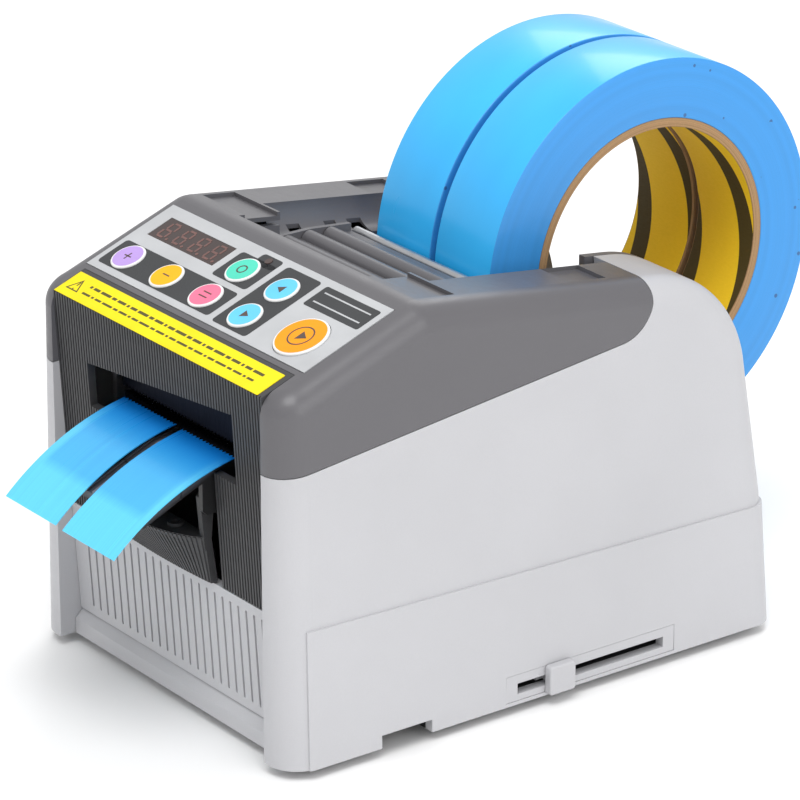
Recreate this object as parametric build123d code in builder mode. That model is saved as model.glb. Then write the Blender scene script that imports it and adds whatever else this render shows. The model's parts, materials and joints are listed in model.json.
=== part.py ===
from build123d import *
import os
from math import cos, hypot, pi, radians, sin, tan

# Desktop automatic tape dispenser, millimetres, +Z up.
# The front faces -Y and +X is to the right as seen from the front. The origin lies at the
# bottom centre of the whole object's bounding box, on the surface that the feet stand on.
# Depths are measured behind the front face, heights above the underside of the housing.

os.makedirs("parts", exist_ok=True)

# ---- housing ----
foot_height = 3.0
base_width = 124.0
body_depth = 171.0
front_height = 105.0      # underside to the front edge of the control slope
slope_angle = 20.5
slope_length = 50.5
wall_drop_angle = 7.4     # fall of the wall tops towards the rear
rear_lean_angle = 8.8
rear_top_height = 90.0    # where the leaning rear edge is 11 mm in front of its foot
rear_top_setback = 10.5
rear_foot_height = 40.0
side_draft = 1.3
wall = 2.5
corner_radius = 9.0
edge_radius = 7.5
shoulder_radius = 9.0
rear_radius = 36.0
seam = 0.3                # visible joint between housing parts
fit_gap = 0.2             # slip fit of inserts

# ---- cap, ledge and hopper ----
cap_front_height = 84.0
cap_rise_angle = 6.6
nose_depth = 127.0
nose_lean = 8.7
nose_radius = 12.0
ledge = 0.6
ledge_front_height = 40.5
ledge_drop_angle = 1.2
hopper_half = 30.5
hopper_setback = 2.5      # behind the top of the slope
lip_radius = 8.5
recess_depth = 1.2

# ---- front ----
opening_half = 50.4
cheek_depth = 14.0
face_lean = 3.7
face_top_setback = 0.6
cover_thickness = 2.5
cover_drop = 64.0
cover_ledge = 11.2        # depth to which the front cover folds back over the slope
vent_drop = 98.0
rib_pitch = 1.3
rib_depth = 0.45
vent_count = 24
vent_pitch = 3.75
vent_slot = 0.9
vent_groove = 1.2
window_half = 35.5
window_left_drop = 17.0
window_right_drop = 9.5
window_step_drop = 30.0
chute_half = 24.5
chute_gap = 0.6

# ---- tape rolls ----
tape_width = 25.0
tape_gap = 2.3
roll_diameter = 116.2
core_bore = 76.2
core_wall = 2.6
roll_depth = 152.0
roll_height = 104.3
strip_reach = 31.0
strip_thickness = 0.3

# ---- feeding and cutting ----
tape_line = 78.5          # height at which the tape leaves the feed rollers
plate_half = 34.0         # inner faces of the mechanism side plates
plate_thickness = 2.0
plate_front = 16.0
plate_rear = 86.0
plate_top = 90.0
plate_foot = 8.0
feed_depth = 34.0
feed_radius = 9.0
press_radius = 6.0
shaft_radius = 3.0
bearing_clearance = 0.05
roller_gap = 0.3
gear_module = 1.0
feed_teeth = 50
pinion_teeth = 16
gear_width = 5.0
motor_radius = 14.0
motor_shaft_radius = 2.0

# ---- controls ----
membrane_front = 14.0
membrane_length = 31.3
membrane_half = 52.0
membrane_thickness = 0.8
membrane_proud = 0.2
button_radius = 5.4
start_radius = 8.2
button_gap = 0.2
button_proud = 0.6
button_travel = 0.5
display_at = (-30.9, 36.5)
display_size = (32.0, 9.0)
lamp_at = (-0.6, 41.7)
lamp_radius = 1.2

# Button name -> (side position, distance up the slope, radius)
buttons = {
    "button_plus": (-42.0, 21.9, button_radius),
    "button_minus": (-23.0, 21.9, button_radius),
    "button_select": (-4.1, 21.9, button_radius),
    "button_mode": (-4.1, 35.0, button_radius),
    "button_reverse": (14.7, 34.8, button_radius),
    "button_forward": (14.7, 21.8, button_radius),
    "button_start": (38.3, 23.7, start_radius),
}

# ---- derived ----
roll_radius = roll_diameter / 2
front = -(roll_depth + roll_radius - strip_reach) / 2
slope_top_depth = slope_length * cos(radians(slope_angle))
slope_top_height = front_height + slope_length * sin(radians(slope_angle))
hopper_front = slope_top_depth + hopper_setback
drop = tan(radians(wall_drop_angle))
lean = tan(radians(rear_lean_angle))
chute_front = 7.6


def half_width(height):
    """Half width of the drafted housing at a height above its underside."""
    return base_width / 2 - height * tan(radians(side_draft))


def top_line(depth):
    """Height of the wall tops at a depth behind the shoulder."""
    return slope_top_height - (depth - slope_top_depth) * drop


def slope_line(depth):
    """Height of the control slope at a depth."""
    return front_height + depth * tan(radians(slope_angle))


def face_depth(height):
    """Depth of the leaning front face at a height."""
    return face_top_setback + (front_height - height) * tan(radians(face_lean))


def side_plane(x):
    """Plane across the machine at x, with depth and height as its axes."""
    return Plane(origin=(x, front, foot_height), x_dir=(0, 1, 0), z_dir=(1, 0, 0))


def level_plane(height):
    """Horizontal plane with x and depth as its axes."""
    return Plane(origin=(0, front, foot_height + height), x_dir=(1, 0, 0), z_dir=(0, 0, 1))


# The leaning front face: x across, y up the face, origin at its top edge.
face_plane = Plane(
    origin=(0, front + face_top_setback, foot_height + front_height),
    x_dir=(1, 0, 0),
    z_dir=(0, -cos(radians(face_lean)), -sin(radians(face_lean))),
)
# The control slope: x across, y up the slope, origin at its front edge.
slope_plane = Plane(
    origin=(0, front, foot_height + front_height),
    x_dir=(1, 0, 0),
    z_dir=(0, -sin(radians(slope_angle)), cos(radians(slope_angle))),
)


def side_prism(points, x0, x1):
    """Prism of a (depth, height) outline between two side positions."""
    with BuildPart() as prism:
        with BuildSketch(side_plane(x0)):
            with BuildLine():
                Polyline(*points, close=True)
            make_face()
        extrude(amount=x1 - x0)
    return prism.part


def block(x0, x1, depth0, depth1, height0, height1):
    """Rectangular block between side positions, depths and heights."""
    with BuildPart() as box:
        with BuildSketch(level_plane(height0)):
            with Locations(((x0 + x1) / 2, (depth0 + depth1) / 2)):
                Rectangle(x1 - x0, depth1 - depth0)
        extrude(amount=height1 - height0)
    return box.part


def rod(x0, x1, depth, height, radius, bore=0.0):
    """Round bar or sleeve along X."""
    with BuildPart() as bar:
        with BuildSketch(side_plane(x0)):
            with Locations((depth, height)):
                Circle(radius)
                if bore:
                    Circle(bore, mode=Mode.SUBTRACT)
        extrude(amount=x1 - x0)
    return bar.part


def housing_block(inset, bottom=0.0, grow=0.0):
    """Solid of the housing's outer shape, shrunk by inset or with its sides and rear grown."""
    rear_top = body_depth - rear_top_setback
    rear_foot = rear_top + (rear_top_height - rear_foot_height) * lean
    # The wall tops and the leaning rear edge run on until they meet.
    peak = top_line(rear_top + rear_top_height * lean) / (1 - lean * drop)
    peak_depth = rear_top + (rear_top_height - peak) * lean
    flare = (body_depth - rear_foot) / rear_foot_height
    with BuildPart() as body:
        for height in (bottom, 150.0):
            half = half_width(height) - inset + grow
            with BuildSketch(level_plane(height)):
                with Locations((0, 2 * body_depth)):
                    Rectangle(2 * half, 4 * body_depth - 2 * inset)
                fillet(vertices().group_by(Axis.Y)[0], radius=corner_radius - inset)
        loft()
        with BuildSketch(side_plane(-base_width)):
            with BuildLine():
                Polyline(
                    (0, bottom - inset),
                    (0, front_height),
                    (slope_top_depth, slope_top_height),
                    (peak_depth, peak),
                    (rear_foot + grow, rear_foot_height),
                    (body_depth + grow + (inset - bottom) * flare, bottom - inset),
                    close=True,
                )
            make_face()
            shoulder = (slope_top_depth, slope_top_height, 0)
            fillet(vertices().sort_by_distance(shoulder)[0], radius=shoulder_radius)
            fillet(vertices().sort_by_distance((peak_depth, peak, 0))[0], radius=rear_radius)
            if inset:
                offset(amount=-inset, kind=Kind.INTERSECTION)
        extrude(amount=2 * base_width, mode=Mode.INTERSECT)
        side = body.edges().filter_by(
            lambda e: abs(e.center().X) > half_width(front_height) - corner_radius
            and e.center().Y > front + corner_radius
            and e.center().Z > foot_height + bottom + 1.0
            and abs(e.tangent_at(0.5).X) < 0.99
        )
        brow = body.edges().filter_by(
            lambda e: e.center().Y < front + corner_radius / 2
            and e.center().Z > foot_height + front_height - corner_radius
        )
        fillet(side + brow, radius=edge_radius - inset)
    return body.part


def on_slope(x, up, above, height, shape):
    """Extrude a shape that lies on the control slope."""
    with BuildPart() as piece:
        with BuildSketch(slope_plane.offset(above)):
            with Locations((x, up)):
                if isinstance(shape, tuple):
                    Rectangle(*shape)
                else:
                    Circle(shape)
        extrude(amount=height)
    return piece.part


def save(builder, name):
    """Label a finished piece and write its STEP file."""
    builder.part.label = name
    export_step(builder.part, f"parts/{name}.step")


# =============================== housing ===============================

far = 400.0               # longer than anything that is cut


def cap_line(depth):
    """Height of the joint between the cap and the side shells."""
    return cap_front_height + depth * tan(radians(cap_rise_angle))


def cap_region(gap):
    """Everything above the cap's joint and in front of its nose, grown by a gap."""
    rise = nose_depth - (200.0 - cap_line(nose_depth)) * tan(radians(nose_lean))
    with BuildPart() as region:
        with BuildSketch(side_plane(-base_width)):
            with BuildLine():
                Polyline(
                    (-50, cap_line(-50)),
                    (nose_depth, cap_line(nose_depth)),
                    (rise, 200),
                    (-50, 200),
                    close=True,
                )
            make_face()
            nose = (nose_depth, cap_line(nose_depth), 0)
            fillet(vertices().sort_by_distance(nose)[0], radius=nose_radius)
            offset(amount=gap, kind=Kind.INTERSECTION)
        extrude(amount=2 * base_width)
    return region.part


def ledge_line(depth):
    """Height of the ledge round the lower housing."""
    return ledge_front_height - depth * tan(radians(ledge_drop_angle))


with BuildPart(mode=Mode.PRIVATE) as skirt:
    add(housing_block(0, grow=ledge))
    below = [(-50, -50), (-50, ledge_line(-50)), (250, ledge_line(250)), (250, -50)]
    add(side_prism(below, -base_width, base_width), mode=Mode.INTERSECT)
    add(block(-base_width, base_width, -5, corner_radius * 0.75, -5, far), mode=Mode.SUBTRACT)

# Return walls that close the two front cheeks on the inside.
with BuildPart(mode=Mode.PRIVATE) as cheeks:
    for x0 in (-opening_half - wall, opening_half):
        add(block(x0, x0 + wall, 0, cheek_depth, 0, slope_line(0)))
    add(housing_block(0), mode=Mode.INTERSECT)

with BuildPart(mode=Mode.PRIVATE) as shell:
    add(housing_block(0))
    add(skirt.part)
    add(housing_block(wall, bottom=-20), mode=Mode.SUBTRACT)
    # The front between the two cheeks is left open for the cover, the vents and the sill.
    deck = wall / cos(radians(slope_angle))
    mouth = [
        (-20, -20),
        (-20, slope_line(-20) - deck),
        (cheek_depth, slope_line(cheek_depth) - deck),
        (cheek_depth, -20),
    ]
    add(side_prism(mouth, -opening_half, opening_half), mode=Mode.SUBTRACT)
    add(cheeks.part)

cap_hopper = hopper_half + lip_radius
guide_front = hopper_front + 14.0
guide_rear = nose_depth - 5.0
guide_slots = [(20.0, 4.5), (33.0, 4.0), (41.0, 5.0)]   # behind hopper_front, width
guide_skirt = 22.0
deck_start = cover_ledge + fit_gap
deck_front = [
    (deck_start, slope_line(deck_start) - deck),
    (deck_start, slope_line(deck_start)),
    (cheek_depth, slope_line(cheek_depth)),
    (cheek_depth, slope_line(cheek_depth) - deck),
]
tray_front_height = 114.0

with BuildPart() as top_cap:
    add(shell.part)
    add(block(-opening_half, opening_half, -5, deck_start, 0, far), mode=Mode.SUBTRACT)
    add(side_prism(deck_front, -opening_half, opening_half))
    add(cap_region(0), mode=Mode.INTERSECT)
    add(
        block(-hopper_half, hopper_half, hopper_front, far, 0, far),
        mode=Mode.SUBTRACT,
    )
    add(
        block(-cap_hopper, cap_hopper, guide_front, far, 0, far),
        mode=Mode.SUBTRACT,
    )
    # Wall that closes the hopper towards the controls.
    add(
        block(
            -hopper_half - wall, hopper_half + wall,
            hopper_front - wall, hopper_front,
            tray_front_height - wall, top_line(hopper_front) - wall / 2,
        )
    )
    # Finger recesses in the wall tops beside the hopper.
    for side in (-1, 1):
        for back, run in ((2.0, 11.0), (52.0, 13.0)):
            depth = hopper_front + back
            reach = [
                (depth, top_line(depth) - recess_depth),
                (depth, far),
                (depth + run, far),
                (depth + run, top_line(depth + run) - recess_depth),
            ]
            inner = hopper_half if back < 10 else cap_hopper
            x0, x1 = sorted((side * (inner - 1), side * (hopper_half + 21.0)))
            add(side_prism(reach, x0, x1), mode=Mode.SUBTRACT)
    # Pocket for the control membrane and the holes under its buttons, lamp and display.
    with BuildSketch(slope_plane.offset(membrane_proud)):
        with Locations((0, membrane_front + membrane_length / 2)):
            Rectangle(2 * (membrane_half + fit_gap), membrane_length + 2 * fit_gap)
    extrude(amount=-membrane_thickness, mode=Mode.SUBTRACT)
    for x, up, radius in buttons.values():
        add(on_slope(x, up, -7, 8, radius), mode=Mode.SUBTRACT)
    add(on_slope(*lamp_at, -8, 12, lamp_radius + 0.1), mode=Mode.SUBTRACT)
    display_hole = (display_size[0] - 1.2, display_size[1] - 1.2)
    add(on_slope(*display_at, -8, 12, display_hole), mode=Mode.SUBTRACT)
save(top_cap, "top_cap")

slot_front = 73.0
slot_rear = 133.0
slot_low = 1.0
slot_high = 9.0
slot_recess = 1.2
slit_front = 77.0
slit_rear = 129.0
slit_low = 3.0
slit_high = 6.2
knob_depth = 91.0
knob_size = 9.0
knob_proud = 2.6
notch_front = 30.5
notch_rear = 47.5
notch_height = 3.8
axle_radius = 3.0
support_radius = 6.5
support_angles = (235.0, 274.5)
support_half = 28.0


def support_centre(angle):
    """Depth and height of a support roller that touches the rolls at an angle."""
    reach = roll_radius + support_radius + roller_gap
    return (
        roll_depth + reach * cos(radians(angle)),
        roll_height + reach * sin(radians(angle)),
    )


def make_side_shell(side):
    """Light side shell: outer wall, cheek, rear corner and the wrap behind the nose."""
    with BuildPart() as half:
        add(shell.part)
        add(cap_region(seam), mode=Mode.SUBTRACT)
        x0, x1 = sorted((0, -side * far))
        add(block(x0, x1, -50, far, -50, far), mode=Mode.SUBTRACT)
        # The hopper and the rear cover lie between the two shells.
        inner = hopper_half + wall + fit_gap
        add(block(-inner, inner, cheek_depth + 1, far, -50, far), mode=Mode.SUBTRACT)
        # Hand notch at the bottom edge.
        x4, x5 = sorted((side * 40, side * far))
        add(block(x4, x5, notch_front, notch_rear, -20, notch_height), mode=Mode.SUBTRACT)
        if side > 0:
            outer = half_width(slot_low) + ledge
            add(
                block(outer - slot_recess, far, slot_front, slot_rear, slot_low, slot_high),
                mode=Mode.SUBTRACT,
            )
            add(
                block(
                    outer - 10, far,
                    slot_front + 2, slot_rear - 2, slot_low + 1, slot_high - 1,
                ),
                mode=Mode.SUBTRACT,
            )
    return half


side_shell_right = make_side_shell(1)
save(side_shell_right, "side_shell_right")
side_shell_left = make_side_shell(-1)
save(side_shell_left, "side_shell_left")


def make_edge_guide(side):
    """Rounded hopper edge with three slots, following the falling wall top."""
    with BuildPart() as guide:
        top = top_line(guide_front)
        section = Plane(
            origin=(0, front + guide_front, foot_height),
            x_dir=(1, 0, 0),
            z_dir=(0, -1, 0),
        )
        run = guide_rear - guide_front
        with BuildSketch(section):
            with BuildLine():
                inner = side * hopper_half
                outer = side * cap_hopper
                Line((outer, top), (outer, top - wall))
                RadiusArc((outer, top - wall), (inner + side * wall, top - lip_radius),
                          side * (lip_radius - wall))
                Line((inner + side * wall, top - lip_radius), (inner + side * wall, top - guide_skirt))
                Line((inner + side * wall, top - guide_skirt), (inner, top - guide_skirt))
                Line((inner, top - guide_skirt), (inner, top - lip_radius))
                RadiusArc((inner, top - lip_radius), (outer, top), -side * lip_radius)
            make_face()
        extrude(amount=hypot(run, run * drop), dir=(0, 1, -drop))
        for back, width in guide_slots:
            depth = hopper_front + back
            low = top_line(depth) - 14.0
            x0, x1 = sorted((side * (hopper_half - 5), side * (cap_hopper - 2.5)))
            add(block(x0, x1, depth, depth + width, low, far), mode=Mode.SUBTRACT)
    return guide


save(make_edge_guide(1), "edge_guide_right")
save(make_edge_guide(-1), "edge_guide_left")


def make_hopper_wall(side):
    """Inner wall of the hopper; carries the ends of the roll support axles."""
    guide_end = guide_rear + 0.2
    with BuildPart() as panel:
        outline = [
            (hopper_front + 0.2, 93.0),
            (hopper_front + 0.2, top_line(hopper_front) - wall - 1.5),
            (guide_front - 0.2, top_line(guide_front) - wall - 1.5),
            (guide_front - 0.2, top_line(guide_front) - guide_skirt - 0.2),
            (guide_end, top_line(guide_end) - guide_skirt - 0.2),
            (guide_end, far),
            (far, far),
            (far, 3.0),
            (90.0, 3.0),
            (90.0, 93.0),
        ]
        x0, x1 = sorted((side * hopper_half, side * (hopper_half + wall)))
        add(side_prism(outline, x0, x1))
        add(housing_block(0.0), mode=Mode.INTERSECT)
        add(block(-far, far, body_depth - wall - 12.0, far, 0, 44.0), mode=Mode.SUBTRACT)
        for angle in support_angles:
            depth, height = support_centre(angle)
            add(rod(-60, 60, depth, height, axle_radius), mode=Mode.SUBTRACT)
    return panel


save(make_hopper_wall(1), "hopper_wall_right")
save(make_hopper_wall(-1), "hopper_wall_left")

rear_cover_height = 43.0
with BuildPart() as rear_cover:
    span = hopper_half + wall
    add(housing_block(0, grow=ledge))
    add(housing_block(wall, bottom=-20), mode=Mode.SUBTRACT)
    add(block(-span, span, body_depth - 30, far, 0, rear_cover_height), mode=Mode.INTERSECT)
    add(block(5, 25, body_depth - 20, far, 12, 26), mode=Mode.SUBTRACT)
    add(block(-24, -6, body_depth - 20, far, 13, 25), mode=Mode.SUBTRACT)
save(rear_cover, "rear_cover")

plate_gap = 0.3
base_thickness = 3.0
screw_spots = [(x, y) for x in (-54, 54) for y in (22, 160)]
with BuildPart() as base_plate:
    half = base_width / 2 - wall - plate_gap
    with BuildSketch(level_plane(0)):
        with Locations((0, (cheek_depth + plate_gap + body_depth - wall - plate_gap) / 2)):
            Rectangle(2 * half, body_depth - wall - cheek_depth - 2 * plate_gap)
        fillet(vertices().group_by(Axis.Y)[-1], radius=edge_radius)
    extrude(amount=base_thickness)
    with BuildSketch(level_plane(0)):
        with Locations(*screw_spots):
            Circle(1.6)
    extrude(amount=base_thickness, mode=Mode.SUBTRACT)
    for x0, x1 in ((-far, -50), (50, far)):
        add(block(x0, x1, notch_front, notch_rear, -1, base_thickness + 1), mode=Mode.SUBTRACT)
save(base_plate, "base_plate")

foot_radius = 6.0
foot_spots = [(x, y) for x in (-43, 43) for y in (22, 155)]
with BuildPart() as feet:
    with BuildSketch(level_plane(-foot_height)):
        with Locations(*foot_spots):
            Circle(foot_radius)
    extrude(amount=foot_height)
    chamfer(feet.edges().group_by(Axis.Z)[0], length=0.5)
save(feet, "feet")

with BuildPart() as housing_screws:
    with BuildSketch(level_plane(-1.4)):
        with Locations(*screw_spots):
            Circle(2.8)
    extrude(amount=1.4)
    with BuildSketch(level_plane(0)):
        with Locations(*screw_spots):
            Circle(1.55)
    extrude(amount=9.0)
    with BuildSketch(level_plane(-1.4)):
        with Locations(*screw_spots):
            Rectangle(3.0, 0.6)
            Rectangle(0.6, 3.0)
    extrude(amount=0.7, mode=Mode.SUBTRACT)
save(housing_screws, "housing_screws")

# =============================== front ===============================

cover_half = opening_half - fit_gap


def rib_grooves(half, low, high, surface):
    """Fine vertical grooves over a face, as one part to take away."""
    count = int(2 * half / rib_pitch)
    with BuildPart() as grooves:
        with BuildSketch(surface.offset(0.1)):
            with Locations((0, (low + high) / 2)):
                with GridLocations(rib_pitch, 1, count, 1):
                    Rectangle(rib_pitch * 0.42, high - low)
        extrude(amount=-rib_depth - 0.1)
    return grooves.part


with BuildPart() as front_cover:
    with BuildSketch(face_plane):
        with BuildLine():
            Polyline(
                (-cover_half, 0),
                (cover_half, 0),
                (cover_half, -cover_drop),
                (chute_half, -cover_drop),
                (chute_half, -window_step_drop),
                (window_half, -window_step_drop),
                (window_half, -window_right_drop),
                (-window_half, -window_left_drop),
                (-window_half, -window_step_drop),
                (-chute_half, -window_step_drop),
                (-chute_half, -cover_drop),
                (-cover_half, -cover_drop),
                close=True,
            )
        make_face()
    extrude(amount=-cover_thickness)
    # The cover folds back over the front of the control slope.
    edge = slope_line(face_top_setback)
    fold = [
        (face_top_setback, edge),
        (cover_ledge, slope_line(cover_ledge)),
        (cover_ledge, slope_line(cover_ledge) - deck),
        (face_depth(edge - deck), edge - deck),
        (face_depth(front_height), front_height),
    ]
    add(side_prism(fold, -cover_half, cover_half))
    add(
        rib_grooves(cover_half, -cover_drop - 1, 1, face_plane),
        mode=Mode.SUBTRACT,
    )
save(front_cover, "front_cover")

sill_height = 7.2
with BuildPart() as vent_plate:
    with BuildSketch(face_plane):
        with Locations((0, -(cover_drop + 0.3 + vent_drop - 0.3) / 2)):
            Rectangle(2 * cover_half, vent_drop - cover_drop - 0.6)
    extrude(amount=-cover_thickness)
    with BuildSketch(face_plane):
        with Locations((0, -(cover_drop + vent_drop) / 2)):
            with GridLocations(vent_pitch, 1, vent_count, 1):
                SlotOverall(vent_drop - cover_drop - 6.0, vent_slot, rotation=90)
    extrude(amount=-vent_groove, mode=Mode.SUBTRACT)
save(vent_plate, "vent_plate")

with BuildPart() as front_sill:
    lip = face_depth(0) - 2.4
    sill_top = front_height - vent_drop * cos(radians(face_lean)) - 0.2
    outline = [
        (lip, 0),
        (lip, sill_top - 2.5),
        (lip + 2.5, sill_top),
        (cheek_depth - 0.2, sill_top),
        (cheek_depth - 0.2, sill_top - wall),
        (lip + wall + 2.5, sill_top - wall),
        (lip + wall + 2.5, 0),
    ]
    add(side_prism(outline, -cover_half, cover_half))
save(front_sill, "front_sill")

# Flap in the lower part of the window, hung from two pivots: straight at its foot, bowed
# forward at its top.
flap_half = chute_half - chute_gap - 2.1
flap_bottom = front_height - cover_drop * cos(radians(face_lean)) + 0.4
flap_top = 55.6
flap_foot_depth = 3.2
flap_foot_bow = 0.8
flap_top_depth = 1.2
flap_thickness = 2.2
flap_shelf = 1.4
pivot_depth = 2.4
pivot_height = 66.0
pivot_radius = 1.5
ear_reach = 2.4


def bow_outline(side_depth, reach, thickness):
    """Plan of a bowed plate at one level."""
    back = side_depth + thickness
    ThreePointArc((-flap_half, side_depth), (0, side_depth - reach), (flap_half, side_depth))
    Line((flap_half, side_depth), (flap_half, back))
    ThreePointArc((flap_half, back), (0, back - reach), (-flap_half, back))
    Line((-flap_half, back), (-flap_half, side_depth))


with BuildPart() as lower_flap:
    for height, side_depth, reach in (
        (flap_bottom, flap_foot_depth, flap_foot_bow),
        (flap_top, flap_top_depth, chute_front),
    ):
        with BuildSketch(level_plane(height)):
            with BuildLine():
                bow_outline(side_depth, reach, flap_thickness)
            make_face()
    loft()
    # Shelf that closes the bow at its top, with a round boss on it.
    with BuildSketch(level_plane(flap_top - flap_shelf)):
        with BuildLine():
            shelf_back = flap_top_depth + flap_thickness
            ThreePointArc(
                (-flap_half, flap_top_depth + 0.3),
                (0, flap_top_depth + 0.3 - chute_front),
                (flap_half, flap_top_depth + 0.3),
            )
            Line((flap_half, flap_top_depth + 0.3), (flap_half, shelf_back))
            Line((flap_half, shelf_back), (-flap_half, shelf_back))
            Line((-flap_half, shelf_back), (-flap_half, flap_top_depth + 0.3))
        make_face()
    extrude(amount=flap_shelf)
    for side in (-1, 1):
        with BuildSketch(level_plane(flap_top)):
            with Locations((side * 9.5, 0.2)):
                Circle(2.3)
                Circle(1.2, mode=Mode.SUBTRACT)
        extrude(amount=0.9)
    for side in (-1, 1):
        ear = [
            (flap_top_depth + 0.2, flap_top - 4),
            (pivot_depth - ear_reach, pivot_height + ear_reach - 1.0),
            (pivot_depth - ear_reach + 1.0, pivot_height + ear_reach),
            (pivot_depth + ear_reach - 1.0, pivot_height + ear_reach),
            (pivot_depth + ear_reach, pivot_height + ear_reach - 1.0),
            (shelf_back - 0.2, flap_top - 4),
        ]
        x0, x1 = sorted((side * flap_half, side * (flap_half - 2.0)))
        add(side_prism(ear, x0, x1))
    add(rod(-60, 60, pivot_depth, pivot_height, pivot_radius + bearing_clearance), mode=Mode.SUBTRACT)
save(lower_flap, "lower_flap")

# Tape rest: a rear piece inside the window and a front piece that reaches out of it.
rest_half = chute_half - chute_gap
rest_wing = 1.8
rest_thickness = 2.2
rest_ridge = 0.6
rest_back = 10.4
rest_bend = 1.5
rest_bend_height = 75.6
rest_rear_height = 76.9
rest_seam = -7.5
rest_front = -20.0
rest_slope = tan(radians(23.5))


def rest_top(depth):
    """Height of the tape rest's surface."""
    if depth > rest_bend:
        share = (depth - rest_bend) / (rest_back - rest_bend)
        return rest_bend_height + share * (rest_rear_height - rest_bend_height)
    return rest_bend_height + (depth - rest_bend) * rest_slope


def rest_piece(rear, tip, thickness):
    """One ridged stretch of the tape rest."""
    stops = [rear, rest_bend, tip] if tip < rest_bend < rear else [rear, tip]
    upper = [(d, rest_top(d)) for d in stops]
    lower = [(d, rest_top(d) - thickness) for d in reversed(stops)]
    ridge = [(d, rest_top(d) + rest_ridge) for d in stops]
    base = [(d, rest_top(d) - 0.3) for d in reversed(stops)]
    with BuildPart() as piece:
        add(side_prism(upper + lower, -rest_half, rest_half))
        for index in range(-7, 8):
            x = index * (2 * rest_half - 1.2) / 14
            add(side_prism(ridge + base, x - 0.45, x + 0.45))
    return piece.part


with BuildPart() as tape_rest_rear:
    add(rest_piece(rest_back, rest_seam + 0.15, rest_thickness))
    # Side cheeks that carry the flap's pivots and reach back to the mechanism.
    for side in (-1, 1):
        wing = [
            (rest_back, rest_top(rest_back) - 1.0),
            (rest_bend, rest_bend_height - 1.0),
            (pivot_depth - 3.0, rest_top(pivot_depth - 3.0) - 1.0),
            (pivot_depth - 3.0, pivot_height - 1.6),
            (pivot_depth - 1.6, pivot_height - 3.0),
            (pivot_depth + 1.6, pivot_height - 3.0),
            (pivot_depth + 3.0, pivot_height - 1.6),
            (pivot_depth + 3.0, rest_bend_height - 7.0),
            (rest_back, rest_top(rest_back) - 6.0),
        ]
        x0, x1 = sorted((side * rest_half, side * (rest_half - rest_wing)))
        add(side_prism(wing, x0, x1))
        # Pivot pin of the flap.
        x2, x3 = sorted((side * rest_half, side * (flap_half - 2.4)))
        add(rod(x2, x3, pivot_depth, pivot_height, pivot_radius))
    arm = [(rest_back - 4, 67.9), (rest_back - 4, 71.9), (rest_back, 71.9), (rest_back, 67.9)]
    add(side_prism(arm, -plate_half, plate_half))
save(tape_rest_rear, "tape_rest_rear")

with BuildPart() as tape_rest_front:
    add(rest_piece(rest_seam - 0.15, rest_front, rest_thickness))
    tongue = [
        (rest_seam + 5.0, rest_top(rest_seam + 5.0) - rest_thickness),
        (rest_seam - 4.0, rest_top(rest_seam - 4.0) - rest_thickness),
        (rest_seam - 4.0, rest_top(rest_seam - 4.0) - rest_thickness - 1.5),
        (rest_seam + 5.0, rest_top(rest_seam + 5.0) - rest_thickness - 1.5),
    ]
    add(side_prism(tongue, -16, 16))
save(tape_rest_front, "tape_rest_front")

strip_gap = 3.4
strip_start = 8.5
strip_height = 79.0
strip_bend = (10.0, 43.2)   # steepness where a strip was cut and at its tip
strip_turn = sin(radians(strip_bend[1])) - sin(radians(strip_bend[0]))
strip_radius = (strip_start + strip_reach) / strip_turn


def tape_strip(side, height):
    """Cut strip that curves down over the tape rest."""
    steep0, steep1 = (radians(angle) for angle in strip_bend)
    centre = (strip_start + strip_radius * sin(steep0), height - strip_radius * cos(steep0))
    x0, x1 = sorted((side * strip_gap / 2, side * (strip_gap / 2 + tape_width)))
    with BuildPart() as strip:
        with BuildSketch(side_plane(x0)):
            with BuildLine():
                for radius in (strip_radius, strip_radius + strip_thickness):
                    CenterArc(centre, radius, 90 + strip_bend[0], strip_bend[1] - strip_bend[0])
                for steep in (steep0, steep1):
                    Line(
                        *[
                            (centre[0] - radius * sin(steep), centre[1] + radius * cos(steep))
                            for radius in (strip_radius, strip_radius + strip_thickness)
                        ]
                    )
            make_face()
        extrude(amount=x1 - x0)
    return strip


save(tape_strip(-1, strip_height), "tape_strip_left")
save(tape_strip(1, strip_height - 0.4), "tape_strip_right")

# =============================== controls ===============================

label_at = (-0.9, 5.7)
label_size = (98.0, 9.6)
label_thickness = 0.2
board_below = 8.0
board_thickness = 1.6
flange_below = 4.0


with BuildPart() as control_membrane:
    add(on_slope(
        0, membrane_front + membrane_length / 2, membrane_proud - membrane_thickness,
        membrane_thickness, (2 * membrane_half, membrane_length),
    ))
    for x, up, radius in buttons.values():
        add(on_slope(x, up, -5, 10, radius), mode=Mode.SUBTRACT)
    add(on_slope(*display_at, -5, 10, display_size), mode=Mode.SUBTRACT)
    add(on_slope(*lamp_at, -5, 10, lamp_radius + 0.1), mode=Mode.SUBTRACT)
save(control_membrane, "control_membrane")

with BuildPart() as display_window:
    add(on_slope(
        *display_at, membrane_proud - membrane_thickness, membrane_thickness - 0.1,
        (display_size[0] - 0.2, display_size[1] - 0.2),
    ))
save(display_window, "display_window")

with BuildPart() as warning_label:
    add(on_slope(*label_at, 0, label_thickness, label_size))
save(warning_label, "warning_label")

with BuildPart() as indicator_lamp:
    add(on_slope(*lamp_at, -board_below, board_below + membrane_proud + 0.3, lamp_radius))
save(indicator_lamp, "indicator_lamp")

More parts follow.
